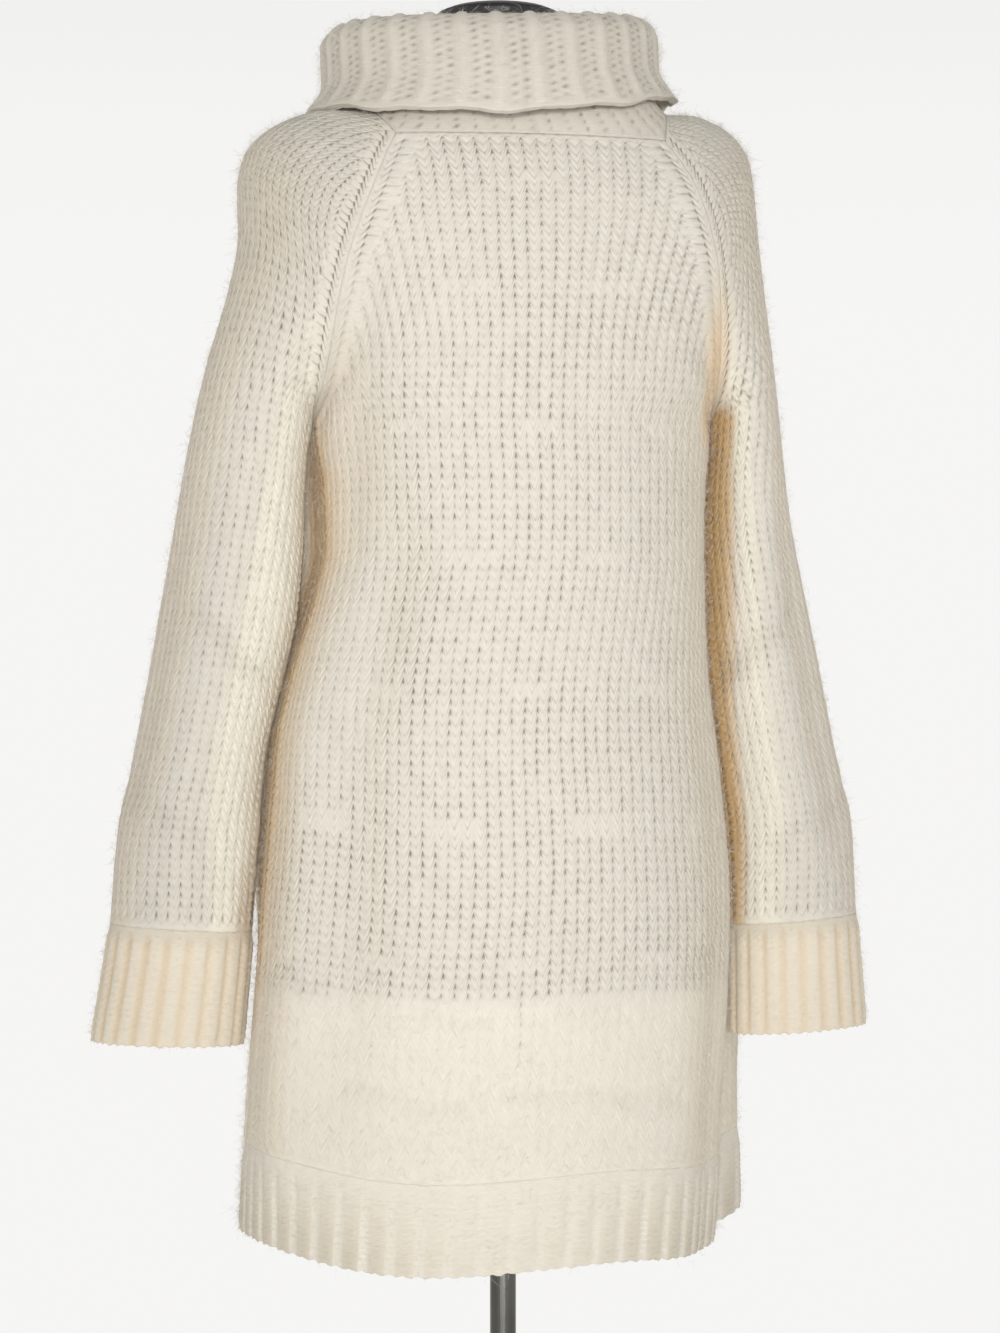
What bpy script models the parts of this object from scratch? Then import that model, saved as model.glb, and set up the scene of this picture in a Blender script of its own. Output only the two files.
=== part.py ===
"""Sweater dress on a limbless dress form, with the form's pole and round base.

Metres, +Z up. The front of the dress faces -Y and the wearer's left side is +X. The origin is the
centre of the base's underside. Every piece of cloth is a wall: its outer face is worked out from the
tables below, row by row from the neck down, and its inner face lies one wall thickness behind it.
Ribs are raised in the outer face alone.
"""

import bpy
import bmesh
import numpy as np
from math import cos, pi, radians, sin

NAME = "sweater_dress_on_form"

# --- Driving dimensions -------------------------------------------------------------------------
WALL = 0.0040            # thickness of the chunky plain knit
SEAM_GAP = 0.0003        # between two pieces that are linked together
RIB_GAP = 0.0005         # where ribs divide a seam more finely than the plain knit does
RIB_HEIGHT = 0.0024      # how far a rib stands out of its wall

NECK = 1.362             # height of the back neck seam
UNDERARM = 1.142
HEM_TOP = 0.5665         # where the hem's ribs start, at centre back
HEM_EDGE = 0.4980
CUFF_TOP = 0.748
CUFF_EDGE = 0.660
HEM_SIDE_LIFT = 0.011    # how much higher the hem is at the side seams than at centre back
HEM_FRONT_LIFT = 0.020   # and how much higher again at centre front
HEM_TILT = 0.006         # how much it rises on the wearer's left and drops on the right
HEM_WAVE = 0.003         # how much the hem line waves up and down,
HEM_WAVES = 2            # this many times across each panel
LIFT_START = 1.10        # height under which rows begin to lift towards the sides
SEAM_FADE_POWER = 10     # how sharply a panel's folds fade out at its side seams
UNDERARM_FADE = 0.060    # length over which a sleeve leaves the body's side seam

HEM_RIBS = 26            # on each of the two hem bands
CUFF_RIBS = 21
COLLAR_RIBS = 29

# Half outline of the body. The side seams carry on up as the raglan seams.
BODY_COLUMNS = ("height", "left_x", "right_x", "seam_y", "back_y", "front_y")
BODY = (
    (1.362, 0.0965, 0.1145, -0.0160, 0.0880, -0.1220),
    (1.345, 0.1050, 0.1265, -0.0140, 0.0940, -0.1280),
    (1.328, 0.1120, 0.1360, -0.0130, 0.0980, -0.1320),
    (1.308, 0.1200, 0.1440, -0.0125, 0.1005, -0.1350),
    (1.287, 0.1275, 0.1510, -0.0120, 0.1020, -0.1370),
    (1.264, 0.1340, 0.1570, -0.0115, 0.1030, -0.1390),
    (1.238, 0.1385, 0.1610, -0.0115, 0.1035, -0.1410),
    (1.208, 0.1420, 0.1645, -0.0115, 0.1030, -0.1420),
    (1.174, 0.1460, 0.1675, -0.0120, 0.1020, -0.1420),
    (1.142, 0.1500, 0.1700, -0.0180, 0.1010, -0.1410),
    (1.100, 0.1430, 0.1655, -0.0180, 0.1005, -0.1400),
    (1.050, 0.1410, 0.1640, -0.0170, 0.1000, -0.1380),
    (1.008, 0.1490, 0.1645, -0.0160, 0.1000, -0.1360),
    (0.945, 0.1665, 0.1680, -0.0150, 0.1010, -0.1350),
    (0.897, 0.1775, 0.1745, -0.0150, 0.1020, -0.1350),
    (0.850, 0.1820, 0.1800, -0.0150, 0.1030, -0.1350),
    (0.771, 0.1885, 0.1860, -0.0150, 0.1040, -0.1350),
    (0.692, 0.1935, 0.1840, -0.0160, 0.1050, -0.1360),
    (0.600, 0.2000, 0.1790, -0.0180, 0.1070, -0.1390),
    (0.498, 0.2050, 0.1730, -0.0200, 0.1090, -0.1420),
)

# How far round the body's oval each panel reaches, in degrees: 90 is the side seam.
TURN_COLUMNS = ("height", "turn")
TURN = (
    (1.362, 50.0), (1.345, 48.0), (1.328, 46.0), (1.308, 46.0), (1.287, 48.0),
    (1.264, 53.0), (1.238, 60.0), (1.208, 70.0), (1.174, 80.0), (1.142, 90.0), (0.498, 90.0),
)

# Sleeve rings. reach is how far round the ring the cloth goes to each side of its outermost point:
# 180 closes it to a tube at the underarm. tilt sets the ring's back edge over its front edge.
RING_COLUMNS = ("height", "reach", "half_depth", "tilt", "out_y")
RING = (
    (1.362, 60.0, 0.1040, 0.0214, -0.0180),
    (1.345, 64.0, 0.1045, 0.0200, -0.0180),
    (1.328, 68.0, 0.1044, 0.0183, -0.0190),
    (1.308, 73.0, 0.1010, 0.0167, -0.0210),
    (1.287, 80.0, 0.0945, 0.0152, -0.0230),
    (1.264, 90.0, 0.0865, 0.0135, -0.0250),
    (1.238, 103.0, 0.0785, 0.0118, -0.0260),
    (1.208, 120.0, 0.0710, 0.0104, -0.0280),
    (1.174, 145.0, 0.0660, 0.0080, -0.0290),
    (1.142, 180.0, 0.0610, 0.0060, -0.0300),
    (1.060, 180.0, 0.0570, 0.0030, -0.0310),
    (0.940, 180.0, 0.0520, 0.0000, -0.0320),
    (0.820, 180.0, 0.0470, 0.0000, -0.0320),
    (0.748, 180.0, 0.0420, 0.0000, -0.0320),
    (0.660, 180.0, 0.0370, 0.0000, -0.0320),
)

# Outermost line of each sleeve, from the neck over the shoulder and down to the cuff.
OUTSIDE_COLUMNS = ("height", "left_x", "left_z", "right_x", "right_z")
OUTSIDE = (
    (1.362, 0.1170, 1.3860, 0.1270, 1.3910),
    (1.345, 0.1450, 1.3875, 0.1500, 1.3930),
    (1.328, 0.1705, 1.3820, 0.1720, 1.3875),
    (1.308, 0.1905, 1.3710, 0.1900, 1.3765),
    (1.287, 0.2035, 1.3550, 0.2010, 1.3610),
    (1.264, 0.2075, 1.3330, 0.2055, 1.3390),
    (1.238, 0.2065, 1.2960, 0.2090, 1.3010),
    (1.208, 0.2145, 1.2505, 0.2150, 1.2535),
    (1.174, 0.2290, 1.2000, 0.2220, 1.2020),
    (1.142, 0.2385, 1.1600, 0.2275, 1.1600),
    (1.060, 0.2545, 1.0750, 0.2395, 1.0750),
    (1.000, 0.2660, 1.0130, 0.2525, 1.0130),
    (0.940, 0.2770, 0.9510, 0.2660, 0.9510),
    (0.880, 0.2885, 0.8900, 0.2785, 0.8900),
    (0.820, 0.3005, 0.8290, 0.2930, 0.8290),
    (0.748, 0.3065, 0.7550, 0.2970, 0.7560),
    (0.660, 0.3205, 0.6640, 0.3045, 0.6670),
)

# Underarm line of each sleeve, below the underarm.
INSIDE_COLUMNS = ("height", "left_x", "right_x")
INSIDE = (
    (1.142, 0.1500, 0.1700),
    (1.120, 0.1535, 0.1705),
    (1.060, 0.1550, 0.1700),
    (1.000, 0.1590, 0.1710),
    (0.940, 0.1720, 0.1740),
    (0.880, 0.1850, 0.1815),
    (0.820, 0.1895, 0.1890),
    (0.748, 0.1955, 0.1915),
    (0.660, 0.2030, 0.1925),
)

# Soft folds pushed out of (or into, when negative) a piece. angle runs round the piece from its middle,
# positive to the wearer's left on the panels and to the back on the sleeves; the fold fades in from top
# to upper and out from lower to bottom.
FOLD_COLUMNS = ("piece", "angle", "spread", "push", "top", "upper", "lower", "bottom")
FOLDS = (
    ("front", 62.0, 15.0, 0.0290, 1.14, 1.04, 0.88, 0.66),
    ("front", -71.0, 11.0, 0.0460, 0.76, 0.63, 0.40, 0.30),
    ("front", -74.0, 12.0, 0.0160, 0.64, 0.46, 0.40, 0.30),
    ("front", -22.0, 12.0, -0.0090, 1.05, 0.75, 0.40, 0.30),
    ("front", 8.0, 11.0, 0.0070, 1.10, 0.80, 0.40, 0.30),
    ("front", 34.0, 13.0, -0.0100, 1.15, 0.85, 0.40, 0.30),
    ("front", 60.0, 12.0, 0.0090, 1.05, 0.80, 0.40, 0.30),
    ("back", 64.0, 11.0, 0.0070, 1.10, 0.95, 0.62, 0.45),
    ("back", 44.0, 10.0, -0.0060, 1.12, 0.98, 0.75, 0.52),
    ("back", -66.0, 10.0, -0.0050, 1.02, 0.85, 0.50, 0.40),
    ("back", -46.0, 12.0, 0.0035, 0.80, 0.62, 0.40, 0.30),
    ("sleeve_left", 75.0, 26.0, 0.0045, 1.12, 0.98, 0.86, 0.76),
    ("sleeve_left", 20.0, 20.0, -0.0050, 1.10, 1.00, 0.90, 0.78),
    ("sleeve_left", -70.0, 24.0, -0.0060, 1.12, 1.00, 0.84, 0.76),
    ("sleeve_right", 48.0, 20.0, -0.0060, 1.12, 1.02, 0.84, 0.76),
    ("sleeve_right", 98.0, 24.0, 0.0040, 1.10, 0.98, 0.86, 0.76),
    ("sleeve_right", -62.0, 24.0, -0.0055, 1.12, 1.00, 0.84, 0.76),
)

# The collar's middle surface, ring by ring: up from the neck seam, over the fold and down outside.
# Each ring sits a little to the wearer's left (sway) and is lower on that side (slope).
COLLAR_COLUMNS = ("half_width", "back_y", "front_y", "back_z", "side_z", "front_z", "sway", "slope")
COLLAR = (
    (0.1110, 0.0720, -0.1300, 1.4180, 1.4300, 1.3780, 0.0040, 0.057),
    (0.1090, 0.0700, -0.1330, 1.4440, 1.4535, 1.4050, 0.0055, 0.048),
    (0.1195, 0.0775, -0.1440, 1.4540, 1.4640, 1.4160, 0.0065, 0.042),
    (0.1315, 0.0890, -0.1550, 1.4450, 1.4525, 1.4050, 0.0055, 0.050),
    (0.1315, 0.1000, -0.1660, 1.4130, 1.4240, 1.3640, 0.0045, 0.057),
    (0.1465, 0.1080, -0.1720, 1.3770, 1.3995, 1.3200, 0.0045, 0.057),
)

# Dress form: one smooth torso with a neck and no limbs.
FORM_COLUMNS = ("height", "half_width", "back_y", "front_y")
FORM = (
    (0.7050, 0.1480, 0.0680, -0.0830),
    (0.7090, 0.1530, 0.0730, -0.0880),
    (0.7250, 0.1590, 0.0790, -0.0940),
    (0.7700, 0.1660, 0.0860, -0.1030),
    (0.8300, 0.1650, 0.0880, -0.1060),
    (0.9000, 0.1500, 0.0800, -0.1000),
    (0.9800, 0.1310, 0.0700, -0.0920),
    (1.0500, 0.1300, 0.0730, -0.0950),
    (1.1100, 0.1340, 0.0810, -0.1070),
    (1.1700, 0.1420, 0.0870, -0.1200),
    (1.2100, 0.1540, 0.0890, -0.1230),
    (1.2500, 0.1720, 0.0890, -0.1180),
    (1.2900, 0.1850, 0.0860, -0.1100),
    (1.3200, 0.1890, 0.0810, -0.1020),
    (1.3410, 0.1850, 0.0750, -0.0920),
    (1.3550, 0.1740, 0.0680, -0.0820),
    (1.3668, 0.1550, 0.0580, -0.0730),
    (1.3758, 0.1300, 0.0480, -0.0680),
    (1.3850, 0.1030, 0.0400, -0.0670),
    (1.3980, 0.0790, 0.0340, -0.0680),
    (1.4150, 0.0630, 0.0320, -0.0700),
    (1.4400, 0.0550, 0.0310, -0.0710),
    (1.4679, 0.0520, 0.0310, -0.0710),
)
NECK_Y = -0.020          # centre of the form's neck
CAP_RADIUS = 0.051
CAP_RIM = 0.003
CAP_DOME = 0.011
POLE_RADIUS = 0.01025
SOCKET_RADIUS = 0.030
SOCKET_LENGTH = 0.045
SOCKET_NECK = 0.018
BASE_RADIUS = 0.190
BASE_THICKNESS = 0.010
HUB_RADIUS = 0.024
HUB_HEIGHT = 0.042
SOCKET_FLANGE = 0.006
BASE_BEVEL = 0.004

# --- Mesh density -------------------------------------------------------------------------------
PANEL_COLUMNS = 22
YOKE_ROWS = 9
SKIRT_ROWS = 9
SLEEVE_COLUMNS = 20
SLEEVE_ROWS = 7
RIB_ROWS = 3
COLUMNS_PER_RIB = 2
COLLAR_ROWS = 13
FORM_COLUMNS_ROUND = 32
TURNED_STEPS = 32
DOME_STEPS = 5
SHARP_ANGLE = 50.0

KNIT = ("cream_knit", (0.80, 0.74, 0.63, 1.0), 0.95, 0.0)
RIB = ("cream_rib", (0.82, 0.77, 0.66, 1.0), 0.95, 0.0)
COVER = ("form_cover", (0.05, 0.05, 0.05, 1.0), 0.80, 0.0)
CAP = ("cap_plastic", (0.03, 0.03, 0.03, 1.0), 0.45, 0.0)
METAL = ("dark_metal", (0.10, 0.10, 0.09, 1.0), 0.35, 1.0)


# --- Tables and curves --------------------------------------------------------------------------
def records(table, columns):
    """A table's rows, each as a dictionary of its named columns."""
    return [dict(zip(columns, row)) for row in table]


def column(table, columns, name):
    """One named column of a table, in order of rising key (the table's first column)."""
    rows = sorted(table)
    return np.array([row[columns.index(name)] for row in rows])


def smooth(keys, values, at):
    """Monotone cubic through (keys, values), read at the points `at`."""
    at = np.asarray(at, dtype=float)
    steps = np.diff(keys)
    slopes = np.diff(values) / steps
    tangents = np.empty(len(keys))
    tangents[0] = slopes[0]
    tangents[-1] = slopes[-1]
    same_sign = slopes[:-1] * slopes[1:] > 0.0
    harmonic = np.zeros(len(slopes) - 1)
    weight_a = 2.0 * steps[1:] + steps[:-1]
    weight_b = steps[1:] + 2.0 * steps[:-1]
    total = weight_a + weight_b
    harmonic[same_sign] = total[same_sign] / (
        weight_a[same_sign] / slopes[:-1][same_sign] + weight_b[same_sign] / slopes[1:][same_sign])
    tangents[1:-1] = harmonic
    cell = np.clip(np.searchsorted(keys, at) - 1, 0, len(steps) - 1)
    u = np.clip((at - keys[cell]) / steps[cell], 0.0, 1.0)
    start = (1 + 2 * u) * (1 - u) ** 2 * values[cell] + u * (1 - u) ** 2 * steps[cell] * tangents[cell]
    end = u * u * (3 - 2 * u) * values[cell + 1] + u * u * (u - 1) * steps[cell] * tangents[cell + 1]
    return start + end


def read(table, columns, name, at):
    """A table's named column, read smoothly at the heights `at`."""
    return smooth(column(table, columns, columns[0]), column(table, columns, name), at)


def ease(value):
    """Smooth step from 0 to 1."""
    value = np.clip(value, 0.0, 1.0)
    return value * value * (3.0 - 2.0 * value)


def unit(vectors):
    """Vectors scaled to length 1."""
    return vectors / np.maximum(np.linalg.norm(vectors, axis=-1, keepdims=True), 1e-12)


def face_normals(grid):
    """Outward normals of a grid of points: columns run clockwise seen from above, rows run down."""
    return unit(np.cross(np.gradient(grid, axis=1), np.gradient(grid, axis=0)))


def level(vectors):
    """Vectors turned level, with length 1."""
    return unit(vectors * (1.0, 1.0, 0.0))


def level_normals(grid):
    """Outward directions of a grid's rows, kept level."""
    return unit(np.cross(np.gradient(grid, axis=1), (0.0, 0.0, -1.0)))


# --- The dress's outer surface ------------------------------------------------------------------
def front_drop(heights):
    """How far the front raglan seam lies under the back one."""
    reach = np.radians(read(RING, RING_COLUMNS, "reach", heights))
    return 2.0 * read(RING, RING_COLUMNS, "tilt", heights) * np.sin(reach)


def chord(heights):
    """Half the distance between the back and the front raglan seam."""
    reach = np.radians(read(RING, RING_COLUMNS, "reach", heights))
    return read(RING, RING_COLUMNS, "half_depth", heights) * np.sin(reach)


def folds(grid, piece, angles, heights):
    """How far the folds of a piece push each point of its grid outwards."""
    push = np.zeros(grid.shape[:2])
    for fold in records(FOLDS, FOLD_COLUMNS):
        if fold["piece"] == piece:
            fade_in = ease((fold["top"] - heights) / (fold["top"] - fold["upper"]))
            fade_out = ease((heights - fold["bottom"]) / (fold["lower"] - fold["bottom"]))
            across = np.exp(-((angles - fold["angle"]) / fold["spread"]) ** 2)
            push += fold["push"] * (fade_in * fade_out)[:, None] * across
    return push


def panel(piece, heights, across):
    """Grid of a body panel, `back` or `front`: a row per height, a column per value of across (-1..1)."""
    heights = np.asarray(heights, dtype=float)
    across = np.asarray(across)[None, :]
    side = 1.0 if piece == "back" else -1.0
    left = read(BODY, BODY_COLUMNS, "left_x", heights)
    right = read(BODY, BODY_COLUMNS, "right_x", heights)
    sway = ((left - right) / 2.0)[:, None]
    half = ((left + right) / 2.0)[:, None]
    seam = (read(BODY, BODY_COLUMNS, "seam_y", heights) + side * chord(heights))[:, None]
    middle = read(BODY, BODY_COLUMNS, piece + "_y", heights)[:, None]
    turn = np.radians(read(TURN, TURN_COLUMNS, "turn", heights))[:, None]
    angle = turn * across
    x = sway + side * half * np.sin(angle) / np.sin(turn)
    y = seam + (middle - seam) * (np.cos(angle) - np.cos(turn)) / (1.0 - np.cos(turn))
    if piece == "back":
        lift = HEM_SIDE_LIFT * (1.0 - np.cos(angle))
        drop = 0.0
    else:
        lift = HEM_SIDE_LIFT + HEM_FRONT_LIFT * np.cos(angle)
        drop = front_drop(heights)[:, None]
    turned_to = side * np.degrees(angle)
    lift = lift + HEM_TILT * side * np.sin(angle) ** 3 - HEM_WAVE * np.sin(2.0 * HEM_WAVES * angle)
    z = heights[:, None] - drop + lift * ease((LIFT_START - heights) / (LIFT_START - HEM_TOP))[:, None]
    grid = np.stack([x, y, z], axis=-1)
    push = folds(grid, piece, turned_to, heights) * (1.0 - across ** SEAM_FADE_POWER)
    return grid + level_normals(grid) * push[..., None]


def sleeve(piece, heights, around):
    """Grid of a sleeve, `sleeve_left` or `sleeve_right`: a column per value of around (-1..1)."""
    heights = np.asarray(heights, dtype=float)
    side = 1.0 if piece == "sleeve_left" else -1.0
    name = "left" if side > 0 else "right"
    reach = np.radians(read(RING, RING_COLUMNS, "reach", heights))[:, None]
    depth = read(RING, RING_COLUMNS, "half_depth", heights)[:, None]
    tilt = read(RING, RING_COLUMNS, "tilt", heights)[:, None]
    yoke = (heights > UNDERARM)[:, None]
    seam_x = read(BODY, BODY_COLUMNS, name + "_x", heights)[:, None]
    seam_y = read(BODY, BODY_COLUMNS, "seam_y", heights)[:, None]
    out_y = read(RING, RING_COLUMNS, "out_y", heights)[:, None]
    in_x = np.where(yoke, seam_x, read(INSIDE, INSIDE_COLUMNS, name + "_x", heights)[:, None])
    side_seam = read(BODY, BODY_COLUMNS, "seam_y", UNDERARM)
    in_y = np.where(yoke, seam_y, out_y + (side_seam - out_y) * underarm_fade(heights))
    in_z = heights[:, None] - tilt * np.sin(reach)
    out_x = read(OUTSIDE, OUTSIDE_COLUMNS, name + "_x", heights)[:, None]
    out_z = read(OUTSIDE, OUTSIDE_COLUMNS, name + "_z", heights)[:, None]
    angle = -side * reach * np.asarray(around)[None, :]
    out = (np.cos(angle) - np.cos(reach)) / (1.0 - np.cos(reach))
    x = side * (in_x + (out_x - in_x) * out)
    y = in_y + (out_y - in_y) * out + depth * np.sin(angle)
    z = in_z + (out_z - in_z) * out + tilt * np.sin(angle)
    grid = np.stack([x, y, z], axis=-1)
    push = folds(grid, piece, np.degrees(angle), heights)
    return grid + level_normals(grid) * push[..., None]


def underarm_fade(heights):
    """1 at the underarm, falling to 0 a little below it."""
    return (1.0 - ease((UNDERARM - heights) / UNDERARM_FADE))[:, None]


# --- Walls --------------------------------------------------------------------------------------
def tube_normals(grid):
    """Normals of a grid whose last column repeats its first."""
    wrapped = np.concatenate([grid[:, -2:-1], grid, grid[:, 1:2]], axis=1)
    normals = face_normals(wrapped)[:, 1:-1]
    normals[:, -1] = normals[:, 0]
    return normals


def shrink(grid, normals, edge):
    """Move one edge column of a grid half a seam gap into its piece, square to the seam."""
    neighbour = 1 if edge == 0 else -2
    tangent = unit(np.gradient(grid[:, edge], axis=0))
    inward = unit(np.cross(normals[:, edge], tangent))
    towards = np.sum(inward * (grid[:, neighbour] - grid[:, edge]), axis=-1, keepdims=True)
    grid[:, edge] += inward * np.sign(towards) * SEAM_GAP / 2.0


def rim_triangles(a, b, count, heights):
    """The rim's two triangles between outer points a and b. Both sides of a seam are cut from the
    higher outer point to the lower inner one, so that their twisted rims run side by side."""
    if heights[a] >= heights[b]:
        return (b, a, b + count), (a, a + count, b + count)
    return (b, a, a + count), (b, a + count, b + count)


def solid(name, outer, inner, numbers, material):
    """A closed wall between two grids of points. numbers maps each grid place to its point, so that
    places with the same number are one point."""
    count = int(numbers.max()) + 1
    points = np.zeros((2 * count, 3))
    points[numbers.ravel()] = outer.reshape(-1, 3)
    points[numbers.ravel() + count] = inner.reshape(-1, 3)
    outside = []
    for row in range(numbers.shape[0] - 1):
        for place in range(numbers.shape[1] - 1):
            quad = (numbers[row, place], numbers[row, place + 1],
                    numbers[row + 1, place + 1], numbers[row + 1, place])
            outside.append(tuple(int(corner) for corner in quad))
    directed = {(quad[i], quad[(i + 1) % 4]) for quad in outside for i in range(4)}
    edges = sorted((a, b) for a, b in directed if (b, a) not in directed)
    rims = [triangle for a, b in edges for triangle in rim_triangles(a, b, count, points[:, 2])]
    inside = [tuple(corner + count for corner in reversed(quad)) for quad in outside]
    mesh = bpy.data.meshes.new(name)
    mesh.from_pydata([tuple(point) for point in points], [], outside + inside + rims)
    return add_object(name, mesh, material)


def sheet_numbers(rows, columns):
    """Point numbers of a plain sheet."""
    return np.arange(rows * columns).reshape(rows, columns)


def tube_numbers(rows, columns, closed_from=0):
    """Point numbers of a sheet whose last column joins its first from the row closed_from down."""
    numbers = np.arange(rows * columns).reshape(rows, columns)
    numbers[closed_from:, -1] = numbers[closed_from:, 0]
    packed = np.unique(numbers, return_inverse=True)[1]
    return packed.reshape(rows, columns)


def rib_wave(columns):
    """Height of the ribs at each column, from 0 in a furrow to RIB_HEIGHT on a rib."""
    phase = np.arange(columns) / COLUMNS_PER_RIB
    return RIB_HEIGHT * (1.0 - np.cos(2.0 * pi * phase)) / 2.0


# --- Materials and objects ----------------------------------------------------------------------
def make_material(name, colour, roughness, metallic):
    """One Principled material."""
    material = bpy.data.materials.new(name)
    material.use_nodes = True
    shader = material.node_tree.nodes["Principled BSDF"]
    shader.inputs["Base Color"].default_value = colour
    shader.inputs["Roughness"].default_value = roughness
    shader.inputs["Metallic"].default_value = metallic
    return material


def add_object(name, mesh, material):
    """A named object in the part's collection, smooth but for its sharp edges."""
    mesh.materials.append(bpy.data.materials[material[0]])
    mesh.shade_smooth()
    mesh.set_sharp_from_angle(angle=radians(SHARP_ANGLE))
    thing = bpy.data.objects.new(name, mesh)
    bpy.data.collections[NAME].objects.link(thing)
    return thing


# --- Cloth pieces -------------------------------------------------------------------------------
def yoke_heights():
    """Row heights from the neck down to the underarm."""
    return np.linspace(NECK, UNDERARM, YOKE_ROWS + 1)


def skirt_heights():
    """Row heights of a body panel, from the neck down to the hem's ribs."""
    below = np.linspace(UNDERARM, HEM_TOP + SEAM_GAP / 2.0, SKIRT_ROWS + 1)
    return np.concatenate([yoke_heights(), below[1:]])


def sleeve_heights():
    """Row heights of a sleeve, from the neck down to the cuff."""
    below = np.linspace(UNDERARM, CUFF_TOP + SEAM_GAP / 2.0, SLEEVE_ROWS + 1)
    return np.concatenate([yoke_heights(), below[1:]])


def measure_cloth():
    """Outer grids and normals of the two panels and the two sleeves, with shared normals at seams."""
    across = np.linspace(-1.0, 1.0, PANEL_COLUMNS + 1)
    around = np.linspace(-1.0, 1.0, SLEEVE_COLUMNS + 1)
    grids = {
        "back": panel("back", skirt_heights(), across),
        "front": panel("front", skirt_heights(), across),
        "sleeve_left": sleeve("sleeve_left", sleeve_heights(), around),
        "sleeve_right": sleeve("sleeve_right", sleeve_heights(), around),
    }
    normals = {piece: face_normals(grid) for piece, grid in grids.items()}
    tube = YOKE_ROWS
    for piece in ("sleeve_left", "sleeve_right"):
        normals[piece][tube:] = tube_normals(grids[piece])[tube:]
    order = ("back", "sleeve_left", "front", "sleeve_right")
    for piece, following in zip(order, order[1:] + order[:1]):
        ends = normals[piece][:tube, -1], normals[following][:tube, 0]
        shared = unit(ends[0] + ends[1])
        normals[piece][:tube, -1] = shared
        normals[following][:tube, 0] = shared
    for piece in order:
        normals[piece][tube, 0] = (0.0, 0.0, -1.0)
        normals[piece][tube, -1] = (0.0, 0.0, -1.0)
        normals[piece][-1] = level(normals[piece][-1])
    for piece, following in (("back", "front"), ("front", "back")):
        shared = unit(normals[piece][tube + 1:, -1] + normals[following][tube + 1:, 0])
        normals[piece][tube + 1:, -1] = shared
        normals[following][tube + 1:, 0] = shared
    return grids, normals


def make_panels(grids, normals):
    """Back and front panel."""
    for piece in ("back", "front"):
        grid = grids[piece].copy()
        side = 1.0 if piece == "back" else -1.0
        for edge, outward in ((0, -side), (-1, side)):
            corner = grid[YOKE_ROWS, edge] + np.array([-outward, side, 0.0]) * SEAM_GAP / 2.0
            shrink(grid, normals[piece], edge)
            grid[YOKE_ROWS, edge] = corner
        inner = grid - normals[piece] * WALL
        solid(piece + "_panel", grid, inner, sheet_numbers(*grid.shape[:2]), KNIT)


def make_sleeves(grids, normals):
    """Left and right raglan sleeve, each a tube from the underarm down."""
    for piece in ("sleeve_left", "sleeve_right"):
        grid = grids[piece].copy()
        open_rows = grid[:YOKE_ROWS]
        for edge in (0, -1):
            shrink(open_rows, normals[piece][:YOKE_ROWS], edge)
        outward = 1.0 if piece == "sleeve_left" else -1.0
        underarm = grid[YOKE_ROWS, 0] + np.array([outward, 0.0, -1.0]) * SEAM_GAP / 2.0
        grid[YOKE_ROWS, 0] = underarm
        grid[YOKE_ROWS, -1] = underarm
        inner = grid - normals[piece] * WALL
        numbers = tube_numbers(*grid.shape[:2], closed_from=YOKE_ROWS)
        solid(piece, grid, inner, numbers, KNIT)


def make_hems():
    """Ribbed hem bands of the back and the front."""
    columns = HEM_RIBS * COLUMNS_PER_RIB + 1
    heights = np.linspace(HEM_TOP - RIB_GAP, HEM_EDGE, RIB_ROWS + 1)
    across = np.linspace(-1.0, 1.0, columns)
    grids = {piece: panel(piece, heights, across) for piece in ("back", "front")}
    normals = {piece: level(face_normals(grid)) for piece, grid in grids.items()}
    for piece, following in (("back", "front"), ("front", "back")):
        shared = unit(normals[piece][:, -1] + normals[following][:, 0])
        normals[piece][:, -1] = shared
        normals[following][:, 0] = shared
    for piece, grid in grids.items():
        shrink(grid, normals[piece], 0)
        shrink(grid, normals[piece], -1)
        inner = grid - normals[piece] * WALL
        outer = grid + normals[piece] * rib_wave(columns)[None, :, None]
        solid("hem_" + piece, outer, inner, sheet_numbers(*grid.shape[:2]), RIB)


def make_cuffs():
    """Ribbed cuffs."""
    columns = CUFF_RIBS * COLUMNS_PER_RIB + 1
    heights = np.linspace(CUFF_TOP - SEAM_GAP, CUFF_EDGE, RIB_ROWS + 1)
    around = np.linspace(-1.0, 1.0, columns)
    for side in ("left", "right"):
        grid = sleeve("sleeve_" + side, heights, around)
        normals = level(tube_normals(grid))
        inner = grid - normals * WALL
        outer = grid + normals * rib_wave(columns)[None, :, None]
        solid("cuff_" + side, outer, inner, tube_numbers(*grid.shape[:2]), RIB)


def neck_ring(grids, normals, columns):
    """Points, normals and upward directions along the neck seam, clockwise from centre back."""
    order = ("back", "sleeve_left", "front", "sleeve_right")
    points = np.concatenate([grids[piece][0, :-1] for piece in order])
    facing = np.concatenate([normals[piece][0, :-1] for piece in order])
    upward = np.concatenate([unit(grids[piece][0, :-1] - grids[piece][1, :-1]) for piece in order])
    start = PANEL_COLUMNS // 2
    data = np.roll(np.concatenate([points, facing, upward], axis=1), -start, axis=0)
    data = np.concatenate([data, data[:1]])
    length = np.concatenate([[0.0], np.cumsum(np.linalg.norm(np.diff(data[:, :3], axis=0), axis=1))])
    at = np.linspace(0.0, length[-1], columns)
    ring = np.stack([np.interp(at, length, data[:, i]) for i in range(9)], axis=1)
    return ring[:, :3], unit(ring[:, 3:6]), unit(ring[:, 6:])


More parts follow.
